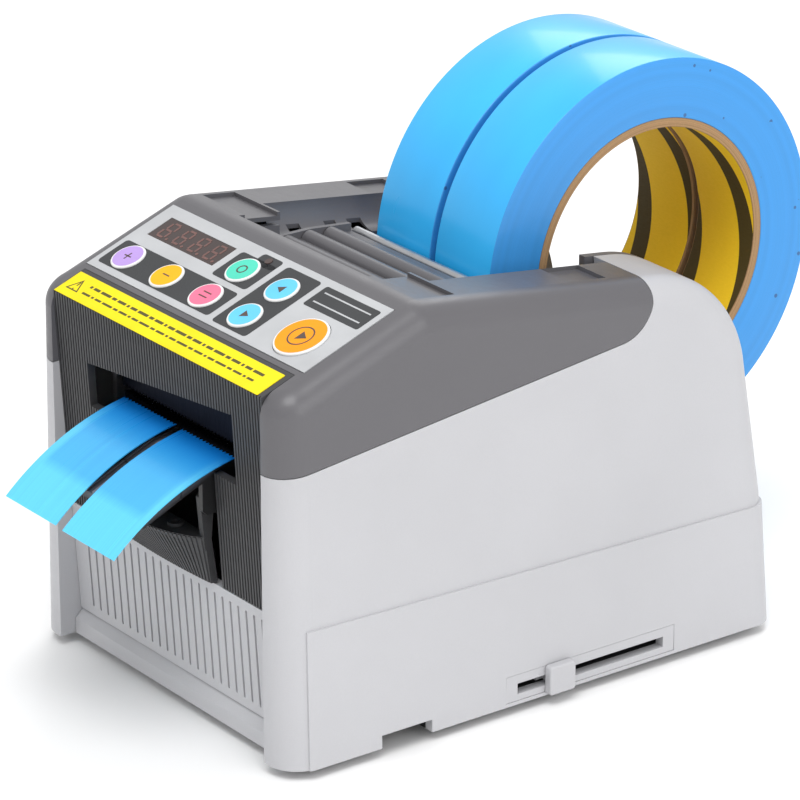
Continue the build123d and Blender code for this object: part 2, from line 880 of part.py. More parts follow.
with BuildPart() as keypad_board:
    add(on_slope(
        0, membrane_front + membrane_length / 2, -board_below - board_thickness,
        board_thickness, (2 * (membrane_half - 4), membrane_length - 1.0),
    ))
    for x, up, radius in buttons.values():
        add(on_slope(x, up, -board_below, 1.2, 2.0))
    # Four-digit display module soldered to the board.
    add(on_slope(
        *display_at, -board_below, board_below - wall - 0.2,
        (display_size[0] - 1.8, display_size[1] - 1.0),
    ))
save(keypad_board, "keypad_board")

for name, (x, up, radius) in buttons.items():
    with BuildPart() as button:
        stem = radius - button_gap
        add(on_slope(x, up, -board_below + 1.2 + button_travel + 0.1,
                     board_below - 1.8 + membrane_proud + button_proud, stem))
        add(on_slope(x, up, -flange_below - 1.0, 1.0, radius + 0.7))
        fillet(button.edges().sort_by(Axis.Z)[-1], radius=0.4)
    save(button, name)

# =============================== hopper ===============================

tray_rear = 87.0
tray_half = hopper_half - 0.3
tray_bend = 73.0
tray_rear_height = 110.5
tray_ridges = (57.0, 64.5, 72.0, 79.5)
tray_ridge_radius = 2.6
rail_depth = 90.2
rail_radius = 1.6


def tray_top(depth):
    """Height of the tray's plate, which falls towards the rolls."""
    fall = (tray_front_height - 2.2 - tray_rear_height) / (tray_rear - tray_bend)
    return tray_front_height - 2.2 - max(0.0, depth - tray_bend) * fall


with BuildPart() as hopper_tray:
    stops = [hopper_front + 0.2, tray_bend, tray_rear]
    plate = [(d, tray_top(d)) for d in stops] + [(d, tray_top(d) - 2.0) for d in reversed(stops)]
    add(side_prism(plate, -tray_half, tray_half))
    for depth in tray_ridges:
        add(rod(-tray_half + 2.0, tray_half - 2.0, depth, tray_top(depth) - 0.4, tray_ridge_radius))
    for side in (-1, 1):
        rim = [(d, tray_top(d) + 2.2) for d in stops] + [(d, tray_top(d)) for d in reversed(stops)]
        x0, x1 = sorted((side * tray_half, side * (tray_half - 1.6)))
        add(side_prism(rim, x0, x1))
    add(block(14.5, 19.5, 74.6, 76.8, 90, 130), mode=Mode.SUBTRACT)
    under = [
        (hopper_front, 0),
        (hopper_front, tray_front_height - 4.2),
        (tray_bend, tray_front_height - 4.2),
        (tray_rear, tray_rear_height - 2.0),
        (far, tray_rear_height - 2.0),
        (far, 0),
    ]
    add(side_prism(under, -far, far), mode=Mode.SUBTRACT)
save(hopper_tray, "hopper_tray")

with BuildPart() as tape_rail:
    add(rod(-hopper_half, hopper_half, rail_depth, tray_rear_height - 1.5, rail_radius))
save(tape_rail, "tape_rail")

with BuildPart() as hopper_floor:
    inner = roll_radius + 2.4
    with BuildSketch(side_plane(-tray_half)):
        with Locations((roll_depth, roll_height)):
            Circle(inner + 2.0)
            Circle(inner, mode=Mode.SUBTRACT)
        with Locations((roll_depth, roll_height + 100 - 35)):
            Rectangle(400, 200, mode=Mode.SUBTRACT)
        with Locations((body_depth - wall - 5.5 + 100, roll_height)):
            Rectangle(200, 400, mode=Mode.SUBTRACT)
    extrude(amount=2 * tray_half)
    for angle in support_angles:
        depth, height = support_centre(angle)
        add(rod(-support_half - 0.6, support_half + 0.6, depth, height, support_radius + 0.8),
            mode=Mode.SUBTRACT)
        add(rod(-60, 60, depth, height, axle_radius), mode=Mode.SUBTRACT)
save(hopper_floor, "hopper_floor")

for place, angle in zip(("front", "rear"), support_angles):
    depth, height = support_centre(angle)
    with BuildPart() as roller:
        add(rod(-support_half, support_half, depth, height, support_radius,
                bore=axle_radius + bearing_clearance))
        chamfer(roller.edges().filter_by(GeomType.CIRCLE).group_by(SortBy.RADIUS)[-1], length=0.5)
    save(roller, f"support_roller_{place}")

with BuildPart() as support_axles:
    for angle in support_angles:
        add(rod(-hopper_half - wall, hopper_half + wall, *support_centre(angle), axle_radius))
save(support_axles, "support_axles")

for side, place in ((-1, "left"), (1, "right")):
    x0, x1 = sorted((side * tape_gap / 2, side * (tape_gap / 2 + tape_width)))
    with BuildPart() as tape:
        add(rod(x0, x1, roll_depth, roll_height, roll_radius, bore=core_bore / 2 + core_wall))
    save(tape, f"tape_roll_{place}")
    with BuildPart() as core:
        add(rod(x0, x1, roll_depth, roll_height, core_bore / 2 + core_wall, bore=core_bore / 2))
    save(core, f"roll_core_{place}")

# =============================== mechanism ===============================

feed_height = tape_line - roller_gap / 2 - feed_radius
press_height = tape_line + roller_gap / 2 + press_radius
mesh_distance = gear_module * (feed_teeth + pinion_teeth) / 2
mesh_angle = -60.0
motor_depth = feed_depth + mesh_distance * cos(radians(mesh_angle))
motor_height = feed_height + mesh_distance * sin(radians(mesh_angle))
gear_side = plate_half + plate_thickness + 2.0
tie_bars = ((24.0, 14.0), (78.0, 14.0), (80.0, 84.0))
tie_radius = 3.0
press_lift = 3.0
arm_half = 31.5
arm_thickness = 2.5
slot_lip = 0.3
blade_thickness = 2.0
blade_front = 11.0
blade_gap = 0.1
blade_rest_height = 80.6
blade_drop = 5.0
fixed_blade_top = 77.4
cutter_radius = 11.0
cutter_depth = 68.0
cutter_height = 70.0


def make_side_plate(side):
    """Steel plate that carries the feed shaft, the press carrier and the motors."""
    with BuildPart() as plate:
        outline = [
            (blade_front - 0.6, 60.0),
            (blade_front - 0.6, plate_top),
            (plate_rear, plate_top),
            (plate_rear, base_thickness),
            (plate_front, base_thickness),
            (plate_front, 60.0),
        ]
        x0, x1 = sorted((side * plate_half, side * (plate_half + plate_thickness)))
        add(side_prism(outline, x0, x1))
        add(rod(-60, 60, feed_depth, feed_height, shaft_radius + bearing_clearance), mode=Mode.SUBTRACT)
        for depth, height in tie_bars:
            add(rod(-60, 60, depth, height, tie_radius), mode=Mode.SUBTRACT)
        # Upright slot that guides the press roller's shaft.
        add(
            block(
                -60, 60, feed_depth - shaft_radius - slot_lip, feed_depth + shaft_radius + slot_lip,
                press_height - shaft_radius - slot_lip, plate_top + 1,
            ),
            mode=Mode.SUBTRACT,
        )
        if side > 0:
            add(rod(-60, 60, motor_depth, motor_height, motor_shaft_radius + 1.0), mode=Mode.SUBTRACT)
    return plate


save(make_side_plate(-1), "mechanism_plate_left")
save(make_side_plate(1), "mechanism_plate_right")

with BuildPart() as mechanism_tie_bars:
    for depth, height in tie_bars:
        add(rod(-plate_half - plate_thickness, plate_half + plate_thickness, depth, height, tie_radius))
save(mechanism_tie_bars, "mechanism_tie_bars")


def spur_gear(teeth, x0, depth, height, phase, bore):
    """Spur gear with straight-flanked teeth, one of them at the phase angle."""
    pitch = gear_module * teeth / 2
    root, tip = pitch - 1.25 * gear_module, pitch + 0.9 * gear_module
    half = 0.42 * pi * gear_module / 2 / pitch
    with BuildPart() as gear:
        with BuildSketch(side_plane(x0)):
            with Locations((depth, height)):
                Circle(root)
                with PolarLocations(0, teeth, start_angle=phase):
                    with Locations(((root + tip) / 2 - 0.25, 0)):
                        Trapezoid(
                            half * pitch * 2.9, tip - root + 0.5, 72, rotation=-90,
                        )
                Circle(bore, mode=Mode.SUBTRACT)
        extrude(amount=gear_width)
    return gear


save(spur_gear(feed_teeth, gear_side, feed_depth, feed_height, mesh_angle, shaft_radius), "feed_gear")
save(
    spur_gear(
        pinion_teeth, gear_side, motor_depth, motor_height,
        mesh_angle + 180 + 180 / pinion_teeth, motor_shaft_radius,
    ),
    "motor_pinion",
)

with BuildPart() as feed_shaft:
    add(rod(-plate_half - plate_thickness - 2, gear_side + gear_width + 1, feed_depth, feed_height,
            shaft_radius))
save(feed_shaft, "feed_shaft")

with BuildPart() as feed_roller:
    add(rod(-27, 27, feed_depth, feed_height, feed_radius, bore=shaft_radius))
    for x in range(-24, 27, 6):
        add(rod(x - 0.5, x + 0.5, feed_depth, feed_height, feed_radius + 1, bore=feed_radius - 0.6),
            mode=Mode.SUBTRACT)
save(feed_roller, "feed_roller")

with BuildPart() as feed_motor:
    add(rod(-8, plate_half, motor_depth, motor_height, motor_radius))
    chamfer(feed_motor.edges().filter_by(GeomType.CIRCLE), length=0.8)
save(feed_motor, "feed_motor")

with BuildPart() as press_roller:
    add(rod(-27, 27, feed_depth, press_height, press_radius))
    add(rod(-plate_half - plate_thickness, plate_half + plate_thickness, feed_depth, press_height,
            shaft_radius - bearing_clearance))
save(press_roller, "press_roller")

beam_height = 93.0
beam_thickness = 2.5
spring_length = 4.5
with BuildPart() as press_carrier:
    beam_top = beam_height + beam_thickness
    add(block(-arm_half, arm_half, feed_depth - 7, feed_depth + 7, beam_height, beam_top))
    for side in (-1, 1):
        x0, x1 = sorted((side * arm_half, side * (arm_half - arm_thickness)))
        add(block(x0, x1, feed_depth - 5.5, feed_depth + 5.5, press_height - 5.5, beam_height))
    add(rod(-60, 60, feed_depth, press_height, shaft_radius), mode=Mode.SUBTRACT)
save(press_carrier, "press_carrier")

with BuildPart() as spring_bridge:
    low = beam_height + beam_thickness + spring_length
    add(block(-plate_half - plate_thickness, plate_half + plate_thickness,
              feed_depth - 5, feed_depth + 5, low, low + 2.0))
    for side in (-1, 1):
        for d0 in (feed_depth - 10, feed_depth + 5):
            x0, x1 = sorted((side * plate_half, side * (plate_half + plate_thickness)))
            add(block(x0, x1, d0, d0 + 5, plate_top, low + 2.0))
save(spring_bridge, "spring_bridge")

spring_radius = 3.0
spring_wire = 0.45
with BuildPart() as press_springs:
    for x in (-20, 20):
        base = Plane(
            origin=(x, front + feed_depth, foot_height + beam_height + beam_thickness + spring_wire),
            z_dir=(0, 0, 1),
        )
        with BuildLine(base):
            coil = Helix(pitch=1.2, height=spring_length - 2 * spring_wire, radius=spring_radius)
        with BuildSketch(Plane(origin=coil @ 0, z_dir=coil % 0)):
            Circle(spring_wire)
        sweep(path=coil)
save(press_springs, "press_springs")

with BuildPart() as fixed_blade:
    back = blade_front + blade_thickness + blade_gap
    add(block(-plate_half, plate_half, back, back + blade_thickness, 62.0, fixed_blade_top))
    with BuildSketch(Plane.XZ.offset(-(front + back - 1))):
        with Locations((0, foot_height + fixed_blade_top)):
            with GridLocations(1.6, 1, 38, 1):
                Rectangle(0.9, 0.9, rotation=45)
    extrude(amount=-blade_thickness - 2, mode=Mode.SUBTRACT)
save(fixed_blade, "fixed_blade")

with BuildPart() as moving_blade:
    add(block(-32, 32, blade_front, blade_front + blade_thickness, blade_rest_height, 97.0))
    add(block(-32, 32, blade_front - 3.0, blade_front + blade_thickness, 95.0, 97.0))
    with BuildSketch(Plane.XZ.offset(-(front + blade_front - 1))):
        with Locations((0, foot_height + blade_rest_height)):
            with GridLocations(1.6, 1, 38, 1):
                Rectangle(0.9, 0.9, rotation=45)
    extrude(amount=-blade_thickness - 2, mode=Mode.SUBTRACT)
save(moving_blade, "moving_blade")

with BuildPart() as cutter_motor:
    add(rod(-plate_half, 2, cutter_depth, cutter_height, cutter_radius))
    chamfer(cutter_motor.edges().filter_by(GeomType.CIRCLE), length=0.8)
save(cutter_motor, "cutter_motor")

# =============================== slider, inlet, switch ===============================

outer = half_width(slot_low) + ledge
with BuildPart() as adjust_slot_plate:
    gap = fit_gap / 2
    add(block(
        outer - slot_recess, outer - 0.2, slot_front + gap, slot_rear - gap, slot_low + gap,
        slot_high - gap,
    ))
    add(block(
        outer - wall - 0.8, outer - slot_recess, slot_front + 2 + gap, slot_rear - 2 - gap,
        slot_low + 1 + gap, slot_high - 1 - gap,
    ))
    add(block(50, 80, slit_front, slit_rear, slit_low, slit_high), mode=Mode.SUBTRACT)
save(adjust_slot_plate, "adjust_slot_plate")

with BuildPart() as adjust_knob:
    add(block(
        outer + 0.15, outer + knob_proud, knob_depth - knob_size / 2, knob_depth + knob_size / 2,
        0.6, 0.2 + knob_size,
    ))
    fillet(adjust_knob.edges().filter_by(Axis.X), radius=1.0)
    fillet(adjust_knob.faces().sort_by(Axis.X)[-1].edges(), radius=0.6)
    add(block(
        outer - wall - 1.1, outer + 0.5, knob_depth - 2.5, knob_depth + 2.5,
        slit_low + fit_gap, slit_high - fit_gap,
    ))
    add(block(
        outer - wall - 2.6, outer - wall - 1.1, knob_depth - 5, knob_depth + 5,
        slit_low + 0.4, slit_high + 2.5,
    ))
save(adjust_knob, "adjust_knob")

with BuildPart() as power_inlet:
    back = body_depth + ledge
    add(block(5.2, 24.8, back - 18, back + 0.4, 12.2, 25.8))
    add(block(3.0, 27.0, back, back + 1.2, 10.0, 28.0))
    add(block(8.0, 22.0, back - 14, back + 5, 14.5, 23.5), mode=Mode.SUBTRACT)
    for x, height in ((15.0, 20.5), (11.5, 17.5), (18.5, 17.5)):
        add(block(x - 1.0, x + 1.0, back - 15, back - 4, height - 0.5, height + 0.5))
    # Switch bay beside the socket, in the same moulding.
    add(block(-23.8, -6.2, back - 10, back + 0.6, 13.2, 24.8))
    add(block(-25.0, 3.5, back, back + 1.2, 10.0, 28.0))
    add(block(-22.0, -8.0, back - 6, back + 5, 14.5, 23.5), mode=Mode.SUBTRACT)
save(power_inlet, "power_inlet")

with BuildPart() as switch_rocker:
    with BuildSketch(level_plane(14.7)):
        with BuildLine():
            Polyline(
                (-21.3, back + 2.2), (-15.0, back + 0.2), (-8.7, back - 0.6),
                (-9.0, back - 3.4), (-21.0, back - 3.4),
                close=True,
            )
        make_face()
    extrude(amount=8.6)
save(switch_rocker, "switch_rocker")
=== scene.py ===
import json
from math import cos, pi, radians, sin

import bpy
from mathutils import Matrix, Vector
from mathutils.bvhtree import BVHTree


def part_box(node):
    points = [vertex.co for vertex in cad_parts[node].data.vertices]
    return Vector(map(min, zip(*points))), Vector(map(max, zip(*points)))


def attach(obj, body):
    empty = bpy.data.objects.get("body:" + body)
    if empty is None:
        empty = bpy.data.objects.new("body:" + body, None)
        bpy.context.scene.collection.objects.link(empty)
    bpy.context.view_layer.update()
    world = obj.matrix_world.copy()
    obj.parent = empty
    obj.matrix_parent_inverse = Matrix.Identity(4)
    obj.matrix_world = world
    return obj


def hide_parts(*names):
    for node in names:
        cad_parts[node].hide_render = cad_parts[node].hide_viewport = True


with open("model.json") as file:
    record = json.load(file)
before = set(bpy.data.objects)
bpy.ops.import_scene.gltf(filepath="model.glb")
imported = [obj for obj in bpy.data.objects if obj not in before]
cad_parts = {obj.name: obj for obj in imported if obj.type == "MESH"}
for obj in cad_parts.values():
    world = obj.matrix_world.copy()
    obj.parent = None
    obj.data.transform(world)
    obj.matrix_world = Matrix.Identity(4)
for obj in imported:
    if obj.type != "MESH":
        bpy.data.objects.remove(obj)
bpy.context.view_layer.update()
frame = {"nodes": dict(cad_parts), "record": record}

bl_info = {
    "name": "Desktop Tape Dispenser",
    "version": (1, 0, 0),
    "blender": (4, 5, 0),
    "location": "View3D > Sidebar > Dispenser",
    "description": "Finishes, printed panel, tape rolls and stage of an automatic tape dispenser",
    "category": "Object",
}

MM = 0.001
INK = 0.04 * MM          # thickness of printed marks
CORE_WALL = 2.6 * MM     # wall of a card core
FACE_SKIN = 0.2 * MM     # depth over which a roll's end counts as its face
# The tape rest: tilt of its face, height of that face's plane at Y = 0, half width, front edge.
REST_TILT = 0.435
REST_LEVEL = 0.1169
REST_HALF = 0.0239
REST_EDGE = -0.1096


# ---- places taken from the frame ----

def panel_matrix():
    """Frame of the keypad film: x across, y up the slope, z out of it, origin at its lower edge."""
    low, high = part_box("control_membrane")
    slope = bpy.context.scene.dispenser_panel.slope
    rest = Matrix.Rotation(slope, 4, "X")
    # The film's thickness follows from its box, and its front edge from its thickness.
    rise, run = high.z - low.z, high.y - low.y
    thick = (rise * cos(slope) - run * sin(slope)) / cos(2 * slope)
    front = Vector((0, low.y, low.z + thick * cos(slope)))
    return Matrix.Translation(front) @ rest


def on_panel(point):
    """A point of the object in the keypad film's own frame."""
    return panel_matrix().inverted() @ Vector(point)


# ---- modelling helpers ----

def clear():
    """Leave nothing selected."""
    if bpy.context.object and bpy.context.object.mode != "OBJECT":
        bpy.ops.object.mode_set(mode="OBJECT")
    bpy.ops.object.select_all(action="DESELECT")


def settle(obj, matrix=None):
    """Put an object where it belongs and bake that place into its mesh."""
    clear()
    if matrix is not None:
        obj.matrix_world = matrix
    obj.select_set(True)
    bpy.context.view_layer.objects.active = obj
    bpy.ops.object.transform_apply(location=True, rotation=True, scale=True)
    return obj


def thicken(height):
    """Extrude everything that is selected along Z."""
    bpy.ops.mesh.extrude_region_move(TRANSFORM_OT_translate={"value": (0, 0, height)})


def slab(width, length, corner, height):
    """Flat plate with rounded corners, lying at the origin."""
    clear()
    bpy.ops.mesh.primitive_plane_add(size=1)
    obj = bpy.context.object
    obj.scale = (width, length, 1)
    bpy.ops.object.transform_apply(scale=True)
    bpy.ops.object.mode_set(mode="EDIT")
    bpy.ops.mesh.select_all(action="SELECT")
    if corner:
        bpy.ops.mesh.bevel(offset=corner, segments=6, affect="VERTICES")
    thicken(height)
    bpy.ops.mesh.select_all(action="SELECT")
    bpy.ops.mesh.normals_make_consistent(inside=False)
    bpy.ops.object.mode_set(mode="OBJECT")
    return obj


def hoop(radius, width, height, sides=64, turn=0.0):
    """Flat ring, or the outline of a polygon, lying at the origin. No width gives a full disc."""
    clear()
    bpy.ops.mesh.primitive_circle_add(vertices=sides, radius=radius, fill_type="NGON")
    obj = bpy.context.object
    obj.rotation_euler = (0, 0, turn)
    bpy.ops.object.transform_apply(rotation=True)
    bpy.ops.object.mode_set(mode="EDIT")
    bpy.ops.mesh.select_all(action="SELECT")
    if width:
        bpy.ops.mesh.inset(thickness=width)
        bpy.ops.mesh.delete(type="FACE")
        bpy.ops.mesh.select_all(action="SELECT")
    thicken(height)
    bpy.ops.mesh.select_all(action="SELECT")
    bpy.ops.mesh.normals_make_consistent(inside=False)
    bpy.ops.object.mode_set(mode="OBJECT")
    return obj


def meshed(name, points, faces):
    """Object from points and faces, with its normals outwards."""
    data = bpy.data.meshes.new(name)
    data.from_pydata(points, [], faces)
    obj = bpy.data.objects.new(name, data)
    bpy.context.scene.collection.objects.link(obj)
    clear()
    obj.select_set(True)
    bpy.context.view_layer.objects.active = obj
    bpy.ops.object.mode_set(mode="EDIT")
    bpy.ops.mesh.select_all(action="SELECT")
    bpy.ops.mesh.normals_make_consistent(inside=False)
    bpy.ops.object.mode_set(mode="OBJECT")
    bpy.ops.object.shade_smooth_by_angle(angle=radians(35))
    return obj


def joined(name, pieces):
    """Join pieces into one object."""
    clear()
    for piece in pieces:
        piece.select_set(True)
    bpy.context.view_layer.objects.active = pieces[0]
    if len(pieces) > 1:
        bpy.ops.object.join()
    obj = bpy.context.view_layer.objects.active
    obj.name = name
    obj.data.name = name
    return obj


def dress(obj, material, body):
    """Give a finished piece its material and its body."""
    obj.data.materials.clear()
    obj.data.materials.append(material)
    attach(obj, body)
    return obj


def sleeve(name, low, high, outer, inner, y, z, edge, sides=256):
    """Hollow drum along X with softened rims: end faces inset, then bridged through."""
    clear()
    bpy.ops.mesh.primitive_cylinder_add(
        vertices=sides, radius=outer, depth=high - low, end_fill_type="NGON",
    )
    obj = bpy.context.object
    obj.name = name
    bpy.ops.object.mode_set(mode="EDIT")
    bpy.ops.mesh.select_mode(type="FACE")
    bpy.ops.mesh.select_all(action="DESELECT")
    bpy.ops.object.mode_set(mode="OBJECT")
    for face in obj.data.polygons:
        face.select = abs(face.normal.z) > 0.9
    bpy.ops.object.mode_set(mode="EDIT")
    bpy.ops.mesh.inset(thickness=outer - inner)
    bpy.ops.mesh.bridge_edge_loops()
    bpy.ops.mesh.select_all(action="DESELECT")
    bpy.ops.object.mode_set(mode="OBJECT")
    for line in obj.data.edges:
        a, b = (obj.data.vertices[i].co for i in line.vertices)
        level = abs(a.z - b.z) < 1e-7
        line.select = level and abs((a.xy.length - b.xy.length)) < 1e-6
    bpy.ops.object.mode_set(mode="EDIT")
    bpy.ops.mesh.select_mode(type="EDGE")
    bpy.ops.mesh.bevel(offset=edge, segments=3, affect="EDGES")
    bpy.ops.mesh.select_all(action="SELECT")
    bpy.ops.mesh.normals_make_consistent(inside=False)
    bpy.ops.object.mode_set(mode="OBJECT")
    bpy.ops.object.shade_smooth_by_angle(angle=radians(35))
    place = Matrix.Translation(((low + high) / 2, y, z)) @ Matrix.Rotation(pi / 2, 4, "Y")
    return settle(obj, place)


# ---- material helpers ----

class Finish:
    """A material under construction: Object coordinates, a shader and short calls for nodes."""

    def __init__(self, name, rough=0.5, metal=0.0, coat=0.0, specular=0.5, colour=None):
        self.material = bpy.data.materials.new(name)
        self.material.use_nodes = True
        self.tree = self.material.node_tree
        self.shader = self.tree.nodes["Principled BSDF"]
        self.shader.inputs["Roughness"].default_value = rough
        self.shader.inputs["Metallic"].default_value = metal
        self.shader.inputs["Coat Weight"].default_value = coat
        self.shader.inputs["Coat Roughness"].default_value = 0.12
        self.shader.inputs["Specular IOR Level"].default_value = specular
        if colour is not None:
            self.shader.inputs["Base Color"].default_value = (*colour, 1)
        self.place = self.tree.nodes.new("ShaderNodeTexCoord").outputs["Object"]
        self.last_bump = None

    def link(self, output, target):
        self.tree.links.new(output, target)

    def feed(self, node, key, value):
        if isinstance(value, bpy.types.NodeSocket):
            self.link(value, node.inputs[key])
        else:
            node.inputs[key].default_value = value

    def mapped(self, scale=(1, 1, 1), turn=(0, 0, 0), shift=(0, 0, 0)):
        node = self.tree.nodes.new("ShaderNodeMapping")
        self.link(self.place, node.inputs["Vector"])
        node.inputs["Scale"].default_value = scale
        node.inputs["Rotation"].default_value = turn
        node.inputs["Location"].default_value = shift
        return node.outputs["Vector"]

    def noise(self, scale, detail=3.0, rough=0.5, place=None):
        node = self.tree.nodes.new("ShaderNodeTexNoise")
        self.link(place or self.place, node.inputs["Vector"])
        node.inputs["Scale"].default_value = scale
        node.inputs["Detail"].default_value = detail
        node.inputs["Roughness"].default_value = rough
        return node.outputs["Fac"]

    def cells(self, scale, place=None):
        node = self.tree.nodes.new("ShaderNodeTexVoronoi")
        self.link(place or self.place, node.inputs["Vector"])
        node.inputs["Scale"].default_value = scale
        return node.outputs["Distance"]

    def math(self, operation, a, b=0.0, clamp=False):
        node = self.tree.nodes.new("ShaderNodeMath")
        node.operation = operation
        node.use_clamp = clamp
        self.feed(node, 0, a)
        self.feed(node, 1, b)
        return node.outputs[0]

    def spread(self, value, low, high, out_low, out_high):
        node = self.tree.nodes.new("ShaderNodeMapRange")
        self.feed(node, 0, value)
        for index, number in enumerate((low, high, out_low, out_high), 1):
            node.inputs[index].default_value = number
        return node.outputs[0]

    def mix(self, share, a, b):
        node = self.tree.nodes.new("ShaderNodeMix")
        node.data_type = "RGBA"
        self.feed(node, 0, share)
        for key, value in ((6, a), (7, b)):
            self.feed(node, key, value if isinstance(value, bpy.types.NodeSocket) else (*value, 1))
        return node.outputs[2]

    def axes(self, place=None):
        node = self.tree.nodes.new("ShaderNodeSeparateXYZ")
        self.link(place or self.place, node.inputs[0])
        return node.outputs

    def radius(self, y, z):
        """Distance from a line along X."""
        parts = self.axes()
        dy = self.math("SUBTRACT", parts[1], y)
        dz = self.math("SUBTRACT", parts[2], z)
        total = self.math("ADD", self.math("MULTIPLY", dy, dy), self.math("MULTIPLY", dz, dz))
        return self.math("SQRT", total)

    def colour(self, value):
        self.link(value, self.shader.inputs["Base Color"])

    def rough(self, value):
        self.link(value, self.shader.inputs["Roughness"])

    def bump(self, value, strength, distance):
        node = self.tree.nodes.new("ShaderNodeBump")
        node.inputs["Strength"].default_value = strength
        node.inputs["Distance"].default_value = distance
        self.link(value, node.inputs["Height"])
        if self.last_bump:
            self.link(self.last_bump, node.inputs["Normal"])
        self.last_bump = node.outputs["Normal"]
        self.link(self.last_bump, self.shader.inputs["Normal"])


def shade(colour, factor):
    return tuple(min(1.0, part * factor) for part in colour)


def moulded(name, colour, rough=0.45, grain=2600, depth=0.00004, scuffs=0.06, coat=0.0):
    """Moulded plastic: spark-eroded grain, soft clouding and faint handling scuffs."""
    f = Finish(name, coat=coat)
    clouds = f.noise(9, 4, 0.6)
    fine = f.noise(grain, 2, 0.5)
    streaks = f.noise(60, 6, 0.7, f.mapped((1, 1, 9), (0.3, 0.2, 0.5)))
    base = f.mix(f.spread(clouds, 0.3, 0.7, 0, 1), shade(colour, 0.95), shade(colour, 1.04))
    flecks = f.spread(fine, 0.35, 0.75, 0, 0.16)
    base = f.mix(flecks, base, shade(colour, 0.82))
    f.colour(f.mix(f.spread(streaks, 0.62, 0.8, 0, scuffs), base, shade(colour, 1.25)))
    f.rough(f.spread(streaks, 0.3, 0.75, rough - 0.06, rough + 0.1))
    f.bump(fine, 0.35, depth)
    f.bump(f.noise(40, 2, 0.4), 0.08, 0.0004)
    return f.material


def rest_moulding_painted_ridge_light(name, colour, dark):
    """Dark moulding whose sloped, ridged upper face is a mid grey, with painted highlight on the
    ridge tops and painted shade between them.
    """
    f = Finish(name, rough=0.4)
    parts = f.axes()
    # Height over the rest's sloped face, from the tilt of that face.
    level = f.math("SUBTRACT", parts[2], f.math("MULTIPLY", parts[1], REST_TILT))
    upper = f.spread(level, REST_LEVEL - 2 * MM, REST_LEVEL - 0.8 * MM, 0, 1)
    ridge_highlight = f.spread(level, REST_LEVEL + 0.2 * MM, REST_LEVEL + 0.5 * MM, 0, 1)
    grain = f.noise(2400, 2, 0.5)
    # Painted highlight on the ridge tops and painted shade between them: lighter and darker copies
    # of one grey, chosen by height.
    face = f.mix(ridge_highlight, shade(colour, 0.6), shade(colour, 1.5))
    f.colour(f.mix(upper, dark, face))
    f.rough(f.spread(grain, 0.3, 0.7, 0.32, 0.45))
    f.bump(grain, 0.3, 0.00003)
    return f.material


def printed(name, colour, rough=0.38, scale=3500):
    """Screen-printed ink on satin film: tiny pinholes and a slight orange peel."""
    f = Finish(name, specular=0.28)
    peel = f.noise(scale, 2, 0.5)
    holes = f.cells(scale * 0.6)
    base = f.mix(f.spread(f.noise(70, 3), 0.3, 0.7, 0, 1), shade(colour, 0.93), shade(colour, 1.05))
    f.colour(f.mix(f.spread(holes, 0.0, 0.12, 0.25, 0.0), base, shade(colour, 1.35)))
    f.rough(f.spread(peel, 0.3, 0.7, rough - 0.05, rough + 0.08))
    f.bump(peel, 0.2, 0.00002)
    return f.material


def sheet_metal(name, colour, rough=0.34, direction=(1, 22, 22)):
    """Rolled or ground metal: drawn lines, dulled patches."""
    f = Finish(name, metal=1.0)
    lines = f.noise(260, 4, 0.6, f.mapped(direction))
    dull = f.noise(30, 4, 0.6)
    base = f.mix(f.spread(lines, 0.3, 0.7, 0, 1), shade(colour, 0.82), shade(colour, 1.08))
    f.colour(f.mix(f.spread(dull, 0.5, 0.75, 0, 0.4), base, shade(colour, 0.7)))
    f.rough(f.spread(lines, 0.3, 0.7, rough - 0.08, rough + 0.14))
    f.bump(lines, 0.25, 0.00003)
    return f.material


def rubbery(name, colour, rough=0.7):
    """Moulded rubber: bloom, dust and a dry grain."""
    f = Finish(name, specular=0.3)
    grain = f.noise(1800, 3, 0.6)
    bloom = f.noise(55, 5, 0.7)
    f.colour(f.mix(f.spread(bloom, 0.45, 0.75, 0, 0.5), colour, shade(colour, 2.0)))
    f.rough(f.spread(bloom, 0.3, 0.8, rough - 0.1, rough + 0.15))
    f.bump(grain, 0.4, 0.00005)
    return f.material


def wound_film(name, colour, side_colour, y, z, left, right):
    """A wound roll: glossy outer turn, end faces with the edges of the turns."""
    f = Finish(name, coat=0.25, specular=0.5)
    r = f.radius(y, z)
    x = f.axes()[0]
    near_left = f.math("LESS_THAN", x, left + FACE_SKIN)
    near_right = f.math("GREATER_THAN", x, right - FACE_SKIN)
    end = f.math("MAXIMUM", near_left, near_right)
    turns = f.noise(1.0, 5, 0.65, ring_place(f, r, 5200))
    broad = f.noise(1.0, 3, 0.5, ring_place(f, r, 420))
    dust = f.math("MULTIPLY", f.math("LESS_THAN", f.cells(260), 0.16),
                  f.math("GREATER_THAN", f.noise(120, 2, 0.5), 0.60))
    ends = f.mix(
        f.spread(turns, 0.3, 0.7, 0, 1), shade(side_colour, 0.86), shade(side_colour, 1.12),
    )
    ends = f.mix(f.spread(broad, 0.35, 0.7, 0, 0.5), ends, shade(side_colour, 0.8))
    ends = f.mix(f.math("MULTIPLY", dust, 0.7), ends, (0.02, 0.05, 0.16))
    wrap = f.noise(22, 3, 0.5, f.mapped((2.5, 1, 1)))
    face = f.mix(f.spread(wrap, 0.3, 0.7, 0, 1), shade(colour, 0.95), shade(colour, 1.05))
    f.colour(f.mix(end, face, ends))
    gloss = f.math("MULTIPLY", end, 0.22)
    f.rough(f.math("ADD", f.spread(wrap, 0.3, 0.7, 0.27, 0.36), gloss))
    f.bump(f.math("MULTIPLY", turns, end), 0.5, 0.00012)
    f.bump(wrap, 0.12, 0.0003)
    return f.material


